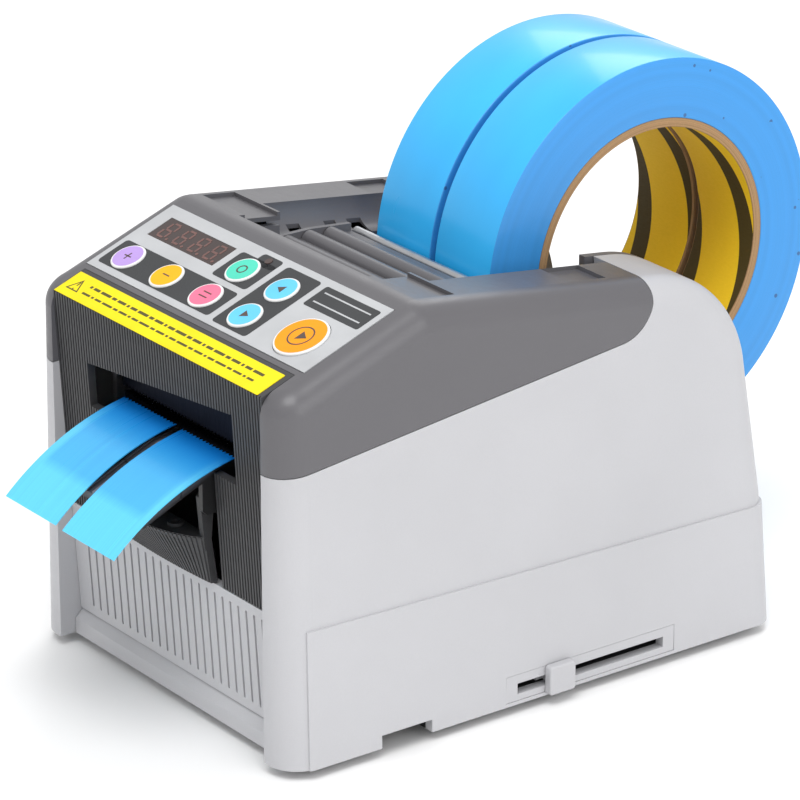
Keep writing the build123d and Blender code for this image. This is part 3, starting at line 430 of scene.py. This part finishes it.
def ring_place(f, r, scale):
    """Coordinates that change with the radius only, plus a slow drift round the roll."""
    node = f.tree.nodes.new("ShaderNodeCombineXYZ")
    drift = f.math("MULTIPLY", f.noise(14, 2, 0.5), 0.6)
    f.link(f.math("ADD", f.math("MULTIPLY", r, scale), drift), node.inputs[0])
    return node.outputs[0]


def spiral_card(name, edge_colour, liner_colour, band_colour, y, z, inner, left, right):
    """Card core: plies on the cut ends, a printed liner with plain bands inside."""
    f = Finish(name, rough=0.75, specular=0.25)
    r = f.radius(y, z)
    x = f.axes()[0]
    inside = f.math("LESS_THAN", r, inner + 0.00025)
    end = f.math(
        "MAXIMUM",
        f.math("LESS_THAN", x, left + 0.0003),
        f.math("GREATER_THAN", x, right - 0.0003),
    )
    liner = f.math("MULTIPLY", inside, f.math("SUBTRACT", 1.0, end))
    plies = f.noise(1.0, 3, 0.5, ring_place(f, r, 2600))
    fibre = f.noise(700, 5, 0.7, f.mapped((1, 3, 3)))
    card = f.mix(f.spread(plies, 0.3, 0.7, 0, 1), shade(edge_colour, 0.7), shade(edge_colour, 1.2))
    card = f.mix(f.spread(fibre, 0.5, 0.8, 0, 0.5), card, shade(edge_colour, 1.5))
    # Plain bands slant across the liner as the strip is wound.
    parts = f.axes()
    slant = f.math("ADD", parts[0], f.math("MULTIPLY", parts[2], 0.22))
    band = f.math("LESS_THAN", f.math("PINGPONG", slant, 0.0115), 0.0032)
    paper = f.mix(f.spread(fibre, 0.3, 0.8, 0, 0.35), liner_colour, shade(liner_colour, 0.75))
    paper = f.mix(f.math("MULTIPLY", band, 0.94), paper, band_colour)
    f.colour(f.mix(liner, card, paper))
    f.rough(f.spread(fibre, 0.2, 0.8, 0.6, 0.85))
    f.bump(plies, 0.4, 0.0001)
    f.bump(fibre, 0.25, 0.00005)
    return f.material


def cut_film(name, colour, tip, painted_shade):
    """Cut strip: thin film, with painted light making it bright beyond the rest where light would
    come through, darker over the rest, and painted shade darkening it inside the window.
    """
    f = Finish(name, coat=0.3)
    threads = f.noise(1.0, 3, 0.5, f.mapped((1500, 6, 6)))
    clouds = f.noise(60, 3, 0.5)
    parts = f.axes()
    across = f.spread(f.math("ABSOLUTE", parts[0]), REST_HALF - 1 * MM, REST_HALF + 1 * MM, 1, 0)
    along = f.spread(parts[1], REST_EDGE - 1.5 * MM, REST_EDGE + 1.5 * MM, 0, 1)
    over_rest = f.math("MULTIPLY", across, along)
    # Inside the window the strip is mixed to the darker end colour: painted shade.
    inside = f.spread(parts[1], REST_EDGE + 11 * MM, REST_EDGE + 27 * MM, 0, 1)
    # Beyond the rest the strip takes the lighter tip colour: painted light where light would come
    # through the film.
    base = f.mix(over_rest, tip, colour)
    base = f.mix(inside, base, painted_shade)
    f.colour(f.mix(f.spread(threads, 0.4, 0.75, 0, 0.25), base, f.mix(clouds, base, painted_shade)))
    f.rough(f.spread(threads, 0.3, 0.7, 0.26, 0.38))
    f.bump(threads, 0.12, 0.00004)
    return f.material


def lens(name, colour, rough=0.12):
    """Tinted window or lens: hard gloss, faint swirl marks."""
    f = Finish(name, coat=0.4, specular=0.6)
    swirl = f.noise(400, 5, 0.7, f.mapped((1, 7, 7), (0.2, 0, 0.7)))
    clouds = f.spread(f.noise(90, 2), 0.3, 0.7, 0, 1)
    f.colour(f.mix(clouds, shade(colour, 0.85), shade(colour, 1.15)))
    f.rough(f.spread(swirl, 0.4, 0.8, rough - 0.04, rough + 0.12))
    f.bump(swirl, 0.05, 0.00002)
    return f.material


# ---- settings ----

def tint(name, description, default):
    return bpy.props.FloatVectorProperty(
        name=name, description=description, default=default, subtype="COLOR", size=3, min=0, max=1,
    )


def length(name, description, default):
    return bpy.props.FloatProperty(
        name=name, description=description, default=default, min=0.0, unit="LENGTH", precision=5,
    )


class DispenserColours(bpy.types.PropertyGroup):
    """Colours of the dispenser's finishes."""

    body: tint("Light body", "Side shells, vents and slider", (0.50, 0.50, 0.52))
    cap: tint("Cap", "Cap and hopper mouldings", (0.118, 0.115, 0.124))
    panel: tint("Front panel", "Ribbed front cover", (0.045, 0.045, 0.048))
    black: tint("Black parts", "Tape rest, flap, base and inlet", (0.014, 0.014, 0.015))
    tape: tint("Tape", "Outer turn of the rolls", (0.030, 0.47, 0.98))
    strip: tint("Strip", "Cut strips over the tape rest", (0.055, 0.49, 0.93))
    # Painted light: lighter colour of the strips beyond the tape rest.
    strip_painted_light: tint("Strip painted light", "Cut strips beyond the tape rest", (0.11, 0.66, 0.98))
    # Painted shade: darker colour of the strips inside the window.
    strip_painted_shade: tint("Strip painted shade", "Cut strips inside the window", (0.002, 0.21, 0.74))
    tape_side: tint("Tape edges", "End faces of the rolls", (0.035, 0.30, 0.74))
    card: tint("Card", "Cut ends of the cores", (0.36, 0.22, 0.11))
    liner: tint("Core liner", "Inside of the cores", (0.90, 0.60, 0.02))
    film: tint("Keypad film", "Silver part of the keypad", (0.49, 0.50, 0.515))
    ink: tint("Keypad ink", "Dark patches of the keypad", (0.045, 0.047, 0.05))
    label: tint("Label", "Yellow label below the keypad", (0.93, 0.74, 0.0))


class DispenserPanel(bpy.types.PropertyGroup):
    """Sizes of the print on the keypad."""

    slope: bpy.props.FloatProperty(
        name="Slope", description="Tilt of the keypad", default=radians(20.5),
        min=0.0, max=pi / 2, unit="ROTATION",
    )
    proud: length("Ink height", "How far print stands on the film", 0.00006)
    ring: length("Ring width", "White rim left round a key's coloured disc", 0.0003)
    corner: length("Patch corner", "Corner radius of the dark patches", 0.0012)
    digit: length("Digit height", "Height of a display digit", 0.0062)
    stroke: length("Key mark stroke", "Line width of the marks on the keys", 0.00045)


class DispenserRolls(bpy.types.PropertyGroup):
    """Shape of the rolls."""

    rim: length("Rim", "Softening of the rolls' rims", 0.00035)
    sides: bpy.props.IntProperty(
        name="Sides", description="Facets round a roll", default=256, min=32, max=512,
    )


class DispenserStage(bpy.types.PropertyGroup):
    """Camera and studio light."""

    camera: bpy.props.FloatVectorProperty(
        name="Camera", description="Where the camera stands", default=(0.9649, -0.7232, 0.5527),
        subtype="XYZ", unit="LENGTH",
    )
    tilt: bpy.props.FloatVectorProperty(
        name="Camera turn", description="Which way the camera looks",
        default=(radians(68.2), 0.0, radians(53.4)), subtype="EULER", unit="ROTATION",
    )
    lens: bpy.props.FloatProperty(
        name="Lens", description="Focal length on a 36 mm sensor", default=207.0, min=1.0,
        unit="CAMERA",
    )
    surround: bpy.props.FloatProperty(
        name="Surround", description="Brightness of the white surround", default=0.75, min=0.0,
    )


# ---- operators ----

def paint(node, material):
    """Give every material slot of a CAD node one finish."""
    obj = frame["nodes"][node]
    if not obj.data.materials:
        obj.data.materials.append(material)
    for index in range(len(obj.data.materials)):
        obj.data.materials[index] = material


KEY_TINTS = {
    "key_lavender": (0.48, 0.32, 0.72),
    "key_amber": (0.95, 0.47, 0.0),
    "key_pink": (0.88, 0.18, 0.30),
    "key_turquoise": (0.08, 0.64, 0.47),
    "key_blue": (0.13, 0.58, 0.90),
    "key_orange": (0.96, 0.33, 0.0),
}


class DISPENSER_OT_finishes(bpy.types.Operator):
    """Give each CAD part the finish of its material slot"""

    bl_idname = "dispenser.finishes"
    bl_label = "Finish the Parts"

    def execute(self, context):
        c = context.scene.dispenser_colours
        finishes = {
            "body_light": moulded("light_body", c.body, rough=0.42),
            "body_dark": moulded("grey_cap", c.cap, rough=0.36),
            "panel_charcoal": moulded("ribbed_charcoal", c.panel, rough=0.5, scuffs=0.03),
            "rest": rest_moulding_painted_ridge_light("rest_moulding_painted_ridge_light", (0.10, 0.105, 0.125), c.black),
            "black_plastic": moulded("black_moulding", c.black, rough=0.42, scuffs=0.03),
            "membrane": printed("keypad_film", c.film, rough=0.34),
            "label_yellow": printed("yellow_label", c.label, rough=0.4),
            "display_dark": lens("display_tint", (0.030, 0.012, 0.010)),
            "lamp_red": lens("dark_lens", (0.045, 0.022, 0.018), 0.3),
            "board_green": printed("board_lacquer", (0.03, 0.17, 0.08), 0.3),
            "core_card": rubbery("spare_card", c.card),
            "tape_blue": rubbery("spare_film", c.tape),
            "roller_rubber": rubbery("feed_rubber", (0.03, 0.03, 0.03)),
            "roller_white": moulded("white_acetal", (0.78, 0.78, 0.75), rough=0.35),
            "foot_rubber": rubbery("foot_rubber", (0.02, 0.02, 0.02)),
            "steel": sheet_metal("zinc_steel", (0.56, 0.57, 0.59)),
            "blade_steel": sheet_metal("ground_blade", (0.010, 0.012, 0.020), 0.5, (22, 22, 1)),
            "motor_metal": sheet_metal("motor_can", (0.30, 0.30, 0.32), 0.4),
            "gear_plastic": moulded("gear_acetal", (0.80, 0.78, 0.70), rough=0.4),
        }
        white = printed("key_white", (0.80, 0.80, 0.80), rough=0.36, scale=2600)
        finishes.update({slot: white for slot in KEY_TINTS})
        slots = {s["node"]: s["material_slot"] for s in frame["record"]["subparts"]}
        for node in frame["nodes"]:
            paint(node, finishes["rest" if node.startswith("tape_rest") else slots[node]])
        return {"FINISHED"}


class DISPENSER_OT_rolls(bpy.types.Operator):
    """Model the two tape rolls and their card cores"""

    bl_idname = "dispenser.rolls"
    bl_label = "Model the Rolls"

    def execute(self, context):
        c = context.scene.dispenser_colours
        shape = context.scene.dispenser_rolls
        for side in ("left", "right"):
            low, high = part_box("tape_roll_" + side)
            core_low, core_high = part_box("roll_core_" + side)
            y, z = (low.y + high.y) / 2, (low.z + high.z) / 2
            outer = (high.z - low.z) / 2
            card = (core_high.z - core_low.z) / 2
            bore = card - CORE_WALL
            film = sleeve(
                "wound_tape_" + side, low.x, high.x, outer, card + 0.02 * MM, y, z,
                shape.rim, shape.sides,
            )
            finish = wound_film(
                "wound_film_" + side, c.tape, c.tape_side, y, z, low.x, high.x,
            )
            dress(film, finish, "roll_" + side)
            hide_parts("tape_roll_" + side)
            core = sleeve(
                "card_core_" + side, low.x, high.x, card, bore, y, z, 0.2 * MM, shape.sides,
            )
            finish = spiral_card(
                "spiral_card_" + side, c.card, c.liner, (0.012, 0.011, 0.010), y, z, bore,
                low.x, high.x,
            )
            dress(core, finish, "roll_" + side)
            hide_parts("roll_core_" + side)
        return {"FINISHED"}


STRIP_START, STRIP_END = radians(10.0), radians(43.2)   # steepness at the cut and at the tip
STRIP_THICK = 0.3 * MM
STRIP_TOOTH = 0.8 * MM                                  # depth of the saw teeth at the cut
STRIP_COLUMNS, STRIP_ROWS = 32, 40
RIB_PITCH = 1.3 * MM
RIB_HALF = 0.38 * MM
RIB_PROUD, RIB_SUNK = 0.35 * MM, 0.2 * MM               # above and below the flap's face
RIB_FOOT, RIB_LENGTH = 0.2 * MM, 13.6 * MM
RIB_LEVELS = 9


def cut_strip(name, low, high):
    """Curved strip of tape with a saw-toothed cut at its upper end."""
    start, end = STRIP_START, STRIP_END
    thick, tooth = STRIP_THICK, STRIP_TOOTH
    columns, rows = STRIP_COLUMNS, STRIP_ROWS
    radius = (high.y - low.y - thick * sin(end)) / (sin(end) - sin(start))
    centre_y = high.y + radius * sin(start)
    centre_z = low.z - radius * cos(end)
    points, faces = [], []
    for reach in (radius, radius + thick):
        for row in range(rows + 1):
            for column in range(columns + 1):
                turn = start + (end - start) * row / rows
                if row == 0 and column % 2:
                    turn += tooth / radius
                points.append((
                    low.x + (high.x - low.x) * column / columns,
                    centre_y - reach * sin(turn),
                    centre_z + reach * cos(turn),
                ))
    wide = columns + 1
    sheet = wide * (rows + 1)
    for row in range(rows):
        for column in range(columns):
            a = row * wide + column
            face = (a, a + 1, a + wide + 1, a + wide)
            faces.append(face)
            faces.append(tuple(i + sheet for i in reversed(face)))
    rim = [*range(wide), *(r * wide + columns for r in range(1, rows + 1)),
           *(rows * wide + c for c in range(columns - 1, -1, -1)),
           *(r * wide for r in range(rows - 1, 0, -1))]
    for a, b in zip(rim, rim[1:] + rim[:1]):
        faces.append((b, a, a + sheet, b + sheet))
    return meshed(name, points, faces)


class DISPENSER_OT_strips(bpy.types.Operator):
    """Model the two cut strips of tape with their toothed ends"""

    bl_idname = "dispenser.strips"
    bl_label = "Model the Strips"

    def execute(self, context):
        c = context.scene.dispenser_colours
        film = cut_film("cut_tape_painted_light_and_shade", c.strip, c.strip_painted_light, c.strip_painted_shade)
        for side in ("left", "right"):
            strip = cut_strip("cut_strip_" + side, *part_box("tape_strip_" + side))
            dress(strip, film, "strip_" + side)
            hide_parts("tape_strip_" + side)
        return {"FINISHED"}


class DISPENSER_OT_flap_ribs(bpy.types.Operator):
    """Raise fine upright ribs on the front of the lower flap"""

    bl_idname = "dispenser.flap_ribs"
    bl_label = "Rib the Flap"

    def execute(self, context):
        c = context.scene.dispenser_colours
        low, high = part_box("lower_flap")
        plate = frame["nodes"]["lower_flap"]
        surface = BVHTree.FromObject(plate, context.evaluated_depsgraph_get())
        place = plate.matrix_world
        back = place.inverted()
        count = int((high.x - low.x) / RIB_PITCH)
        points, faces = [], []
        for index in range(count):
            x = (index - (count - 1) / 2) * RIB_PITCH
            first = len(points)
            for level in range(RIB_LEVELS):
                z = low.z + RIB_FOOT + RIB_LENGTH * level / (RIB_LEVELS - 1)
                for edge in (x - RIB_HALF, x + RIB_HALF):
                    start = back @ Vector((edge, low.y - 20 * MM, z))
                    y = (place @ surface.ray_cast(start, Vector((0, 1, 0)))[0]).y
                    points += [(edge, y - RIB_PROUD, z), (edge, y + RIB_SUNK, z)]
            for level in range(RIB_LEVELS - 1):
                a = first + level * 4
                for i, j in ((0, 2), (2, 3), (3, 1), (1, 0)):
                    faces.append((a + i, a + j, a + j + 4, a + i + 4))
            last = first + (RIB_LEVELS - 1) * 4
            faces.append((first, first + 1, first + 3, first + 2))
            faces.append((last, last + 2, last + 3, last + 1))
        ribs = meshed("flap_ribs", points, faces)
        dress(ribs, moulded("flap_ribs", c.panel, rough=0.5, scuffs=0.03), "flap")
        return {"FINISHED"}


def plate_at(x0, x1, up0, up1, corner, above, height):
    """Rounded plate on the keypad film between two side positions and two distances up it."""
    obj = slab(x1 - x0, up1 - up0, corner, height)
    middle_of = Matrix.Translation(((x0 + x1) / 2, (up0 + up1) / 2, above))
    return settle(obj, panel_matrix() @ middle_of)


class DISPENSER_OT_print(bpy.types.Operator):
    """Print the dark patches, the badge and the badge's lines"""

    bl_idname = "dispenser.panel_print"
    bl_label = "Print the Panel"

    def execute(self, context):
        c = context.scene.dispenser_colours
        p = context.scene.dispenser_panel
        # x from, x to, up from, up to: measured from the film's lower edge.
        patches = [
            (-50.0, 4.2, 2.3, 13.4),
            (-12.0, 4.2, 15.5, 27.0),
            (-5.0, 4.2, 25.0, 29.6),
            (6.9, 22.7, 1.6, 29.0),
        ]
        pieces = [
            plate_at(x0 * MM, x1 * MM, u0 * MM, u1 * MM, p.corner, 0, p.proud)
            for x0, x1, u0, u1 in patches
        ]
        ink = printed("keypad_ink", c.ink, rough=0.42)
        dress(joined("keypad_patches", pieces), ink, "housing")
        badge = [plate_at(25.3 * MM, 49.9 * MM, 19.9 * MM, 28.7 * MM, 0.8 * MM, 0, p.proud)]
        dress(joined("plain_badge", badge), ink, "housing")
        trim = [
            plate_at(27.2 * MM, 48.0 * MM, up * MM, (up + 0.5) * MM, 0, p.proud, 0.03 * MM)
            for up in (22.0, 26.1)
        ]
        silver = printed("badge_silver", c.film, rough=0.3)
        dress(joined("badge_lines", trim), silver, "housing")
        return {"FINISHED"}


class DISPENSER_OT_label(bpy.types.Operator):
    """Print a generic triangle and plain dashes on the yellow label"""

    bl_idname = "dispenser.label_marks"
    bl_label = "Mark the Label"

    def execute(self, context):
        low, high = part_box("warning_label")
        front = on_panel((0, low.y, low.z))
        back = on_panel((0, high.y, high.z))
        up = (front.y + back.y) / 2
        above = back.z
        pieces = []
        triangle = hoop(3.3 * MM, 0.45 * MM, INK, sides=3)
        pieces.append(settle(
            triangle, panel_matrix() @ Matrix.Translation((low.x + 5 * MM, up - 0.6 * MM, above))
        ))
        for top, size in ((-1.5, 0.5), (0.1, 1.7)):
            pieces.append(plate_at(
                low.x + 4.75 * MM, low.x + 5.25 * MM, up + (top - 0.3) * MM,
                up + (top - 0.3 + size) * MM, 0.1 * MM, above, INK,
            ))
        # Two rows of dashes of uneven length.
        for row, lift, tall in ((0, 1.6, 0.5), (1, -1.4, 0.4)):
            x = low.x + 9.5 * MM
            index = 0
            while x < high.x - 9 * MM:
                run = (1.1 + (index * 7 + row * 3) % 5 * 0.9) * MM
                pieces.append(plate_at(
                    x, x + run, up + (lift - tall) * MM, up + (lift + tall) * MM,
                    0.15 * MM, above, 0.03 * MM,
                ))
                x += run + 0.75 * MM
                index += 1
        dress(joined("label_marks", pieces), printed("label_ink", (0.09, 0.08, 0.02)),
              "housing")
        return {"FINISHED"}


SEGMENTS = (
    (0, 1, 1, 0), (0, 0, 1, 0), (0, -1, 1, 0),
    (-1, 0.5, 0, 1), (1, 0.5, 0, 1), (-1, -0.5, 0, 1), (1, -0.5, 0, 1),
)


class DISPENSER_OT_display(bpy.types.Operator):
    """Model the four unlit digits behind the display window"""

    bl_idname = "dispenser.display_digits"
    bl_label = "Model the Digits"

    def execute(self, context):
        p = context.scene.dispenser_panel
        low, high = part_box("display_window")
        centre = on_panel((low + high) / 2)
        above = centre.z + 0.36 * MM
        half = p.digit / 2
        wide = p.digit * 0.27
        pieces = []
        for index in range(4):
            x = centre.x + (index - 1.5) * (high.x - low.x) * 0.235
            for sx, sy, level, upright in SEGMENTS:
                w = 1.6 * wide if level else 0.75 * MM
                h = 0.8 * half if upright else 0.75 * MM
                bar = slab(w, h, 0.25 * MM, 0.05 * MM)
                lean = sy * half * 0.17
                pieces.append(settle(bar, panel_matrix() @ Matrix.Translation(
                    (x + sx * wide + lean, centre.y + sy * half, above))))
            dot = hoop(0.5 * MM, 0, 0.05 * MM, sides=16)
            pieces.append(settle(dot, panel_matrix() @ Matrix.Translation(
                (x + wide * 1.75, centre.y - half, above))))
        digits = joined("display_digits", pieces)
        dress(digits, lens("unlit_digit", (0.14, 0.055, 0.045), 0.3), "housing")
        return {"FINISHED"}


class DISPENSER_OT_keys(bpy.types.Operator):
    """Print the coloured discs and the marks of the keys"""

    bl_idname = "dispenser.key_marks"
    bl_label = "Mark the Keys"

    def execute(self, context):
        p = context.scene.dispenser_panel
        ink = printed("key_ink", (0.10, 0.07, 0.06), rough=0.45)
        tints = {t: printed(t, colour, rough=0.36, scale=2600) for t, colour in KEY_TINTS.items()}
        slots = {row["node"]: row["material_slot"] for row in frame["record"]["subparts"]}
        s = p.stroke
        marks = {
            "plus": (("bar", 0, 0, 3.0 * MM, s), ("bar", 0, 0, s, 3.0 * MM)),
            "minus": (("bar", 0, 0, 3.0 * MM, s),),
            "select": (("bar", 0, 0.9 * MM, 3.6 * MM, s), ("bar", 0, -0.9 * MM, 3.6 * MM, s)),
            "mode": (("ring", 0, 0, 1.7 * MM, s),),
            "reverse": (("arrow", 0, 0, 1.7 * MM, pi / 2),),
            "forward": (("arrow", 0, 0, 1.7 * MM, -pi / 2),),
            "start": (("ring", 0, 0, 4.0 * MM, s), ("arrow", 0.3 * MM, 0, 2.1 * MM, -pi / 2)),
        }
        for key, parts in marks.items():
            node = "button_" + key
            low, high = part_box(node)
            x = (low.x + high.x) / 2
            top, crown = key_top(node)
            disc = hoop(crown - p.ring, 0, p.proud)
            settle(disc, panel_matrix() @ Matrix.Translation((x, top.y, top.z)))
            dress(joined("disc_" + key, [disc]), tints[slots[node]], node + "_key")
            made = []
            for kind, dx, dy, a, b in parts:
                if kind == "bar":
                    obj = slab(a, b, 0.1 * MM, INK)
                elif kind == "ring":
                    obj = hoop(a, b, INK, sides=48)
                else:
                    obj = hoop(a, 0, INK, sides=3, turn=b)
                made.append(settle(obj, panel_matrix() @ Matrix.Translation(
                    (x + dx, top.y + dy, top.z + p.proud))))
            dress(joined("mark_" + key, made), ink, node + "_key")
        return {"FINISHED"}


def key_top(node):
    """Centre of a key's top face in the keypad film's frame, and that face's radius."""
    inverse = panel_matrix().inverted()
    points = [inverse @ v.co for v in frame["nodes"][node].data.vertices]
    peak = max(q.z for q in points)
    crown = [q for q in points if q.z > peak - 0.01 * MM]
    near, far = min(q.y for q in crown), max(q.y for q in crown)
    return Vector((0, (near + far) / 2, peak)), (far - near) / 2


class DISPENSER_OT_stage(bpy.types.Operator):
    """Set the floor, the studio light and the camera"""

    bl_idname = "dispenser.stage"
    bl_label = "Set the Stage"

    def execute(self, context):
        s = context.scene.dispenser_stage
        clear()
        bpy.ops.mesh.primitive_plane_add(size=6)
        floor = context.object
        floor.name = "floor"
        f = Finish("pale_floor", rough=0.6, specular=0.3)
        f.colour(f.mix(f.noise(3, 2), (0.93, 0.93, 0.93), (0.96, 0.96, 0.96)))
        floor.data.materials.append(f.material)
        for name, spot, aim, size, power in (
            ("key_light", (0.5, -0.5, 1.5), (0, 0, 0.08), 0.9, 13),
            ("side_light", (1.5, 0.2, 0.7), (0, 0, 0.08), 1.0, 6),
            ("back_light", (-0.9, 1.0, 1.2), (0, 0, 0.1), 0.9, 7),
        ):
            bpy.ops.object.light_add(type="AREA", location=spot)
            light = context.object
            light.name = name
            light.data.size = size
            light.data.energy = power
            aim_at = Vector(aim) - Vector(spot)
            light.rotation_euler = aim_at.to_track_quat("-Z", "Y").to_euler()
        world = bpy.data.worlds.new("white_surround")
        world.use_nodes = True
        back = world.node_tree.nodes["Background"]
        back.inputs["Color"].default_value = (1, 1, 1, 1)
        back.inputs["Strength"].default_value = s.surround
        context.scene.world = world
        bpy.ops.object.camera_add(location=s.camera, rotation=s.tilt)
        camera = context.object
        camera.name = "studio_camera"
        camera.data.sensor_width = 36.0
        camera.data.lens = s.lens
        camera.data.clip_end = 50
        context.scene.camera = camera
        context.scene.view_settings.view_transform = "Standard"
        return {"FINISHED"}


class DISPENSER_PT_sidebar(bpy.types.Panel):
    """Lists the dispenser's operators and settings"""

    bl_label = "Tape Dispenser"
    bl_idname = "DISPENSER_PT_sidebar"
    bl_space_type = "VIEW_3D"
    bl_region_type = "UI"
    bl_category = "Dispenser"

    def draw(self, context):
        for operator in OPERATORS:
            self.layout.operator(operator.bl_idname)
        for settings in ("colours", "panel", "rolls", "stage"):
            group = getattr(context.scene, "dispenser_" + settings)
            for key in group.__annotations__:
                self.layout.prop(group, key)


OPERATORS = (
    DISPENSER_OT_finishes,
    DISPENSER_OT_rolls,
    DISPENSER_OT_strips,
    DISPENSER_OT_flap_ribs,
    DISPENSER_OT_print,
    DISPENSER_OT_label,
    DISPENSER_OT_display,
    DISPENSER_OT_keys,
    DISPENSER_OT_stage,
)
SETTINGS = (
    ("dispenser_colours", DispenserColours),
    ("dispenser_panel", DispenserPanel),
    ("dispenser_rolls", DispenserRolls),
    ("dispenser_stage", DispenserStage),
)


def register():
    for name, group in SETTINGS:
        bpy.utils.register_class(group)
        setattr(bpy.types.Scene, name, bpy.props.PointerProperty(type=group))
    for cls in (*OPERATORS, DISPENSER_PT_sidebar):
        bpy.utils.register_class(cls)


def unregister():
    for cls in reversed((*OPERATORS, DISPENSER_PT_sidebar)):
        bpy.utils.unregister_class(cls)
    for name, group in SETTINGS:
        delattr(bpy.types.Scene, name)
        bpy.utils.unregister_class(group)


def main():
    register()
    bpy.ops.dispenser.finishes()
    bpy.ops.dispenser.rolls()
    bpy.ops.dispenser.strips()
    bpy.ops.dispenser.flap_ribs()
    bpy.ops.dispenser.panel_print()
    bpy.ops.dispenser.label_marks()
    bpy.ops.dispenser.display_digits()
    bpy.ops.dispenser.key_marks()
    bpy.ops.dispenser.stage()


if __name__ == "__main__":
    main()
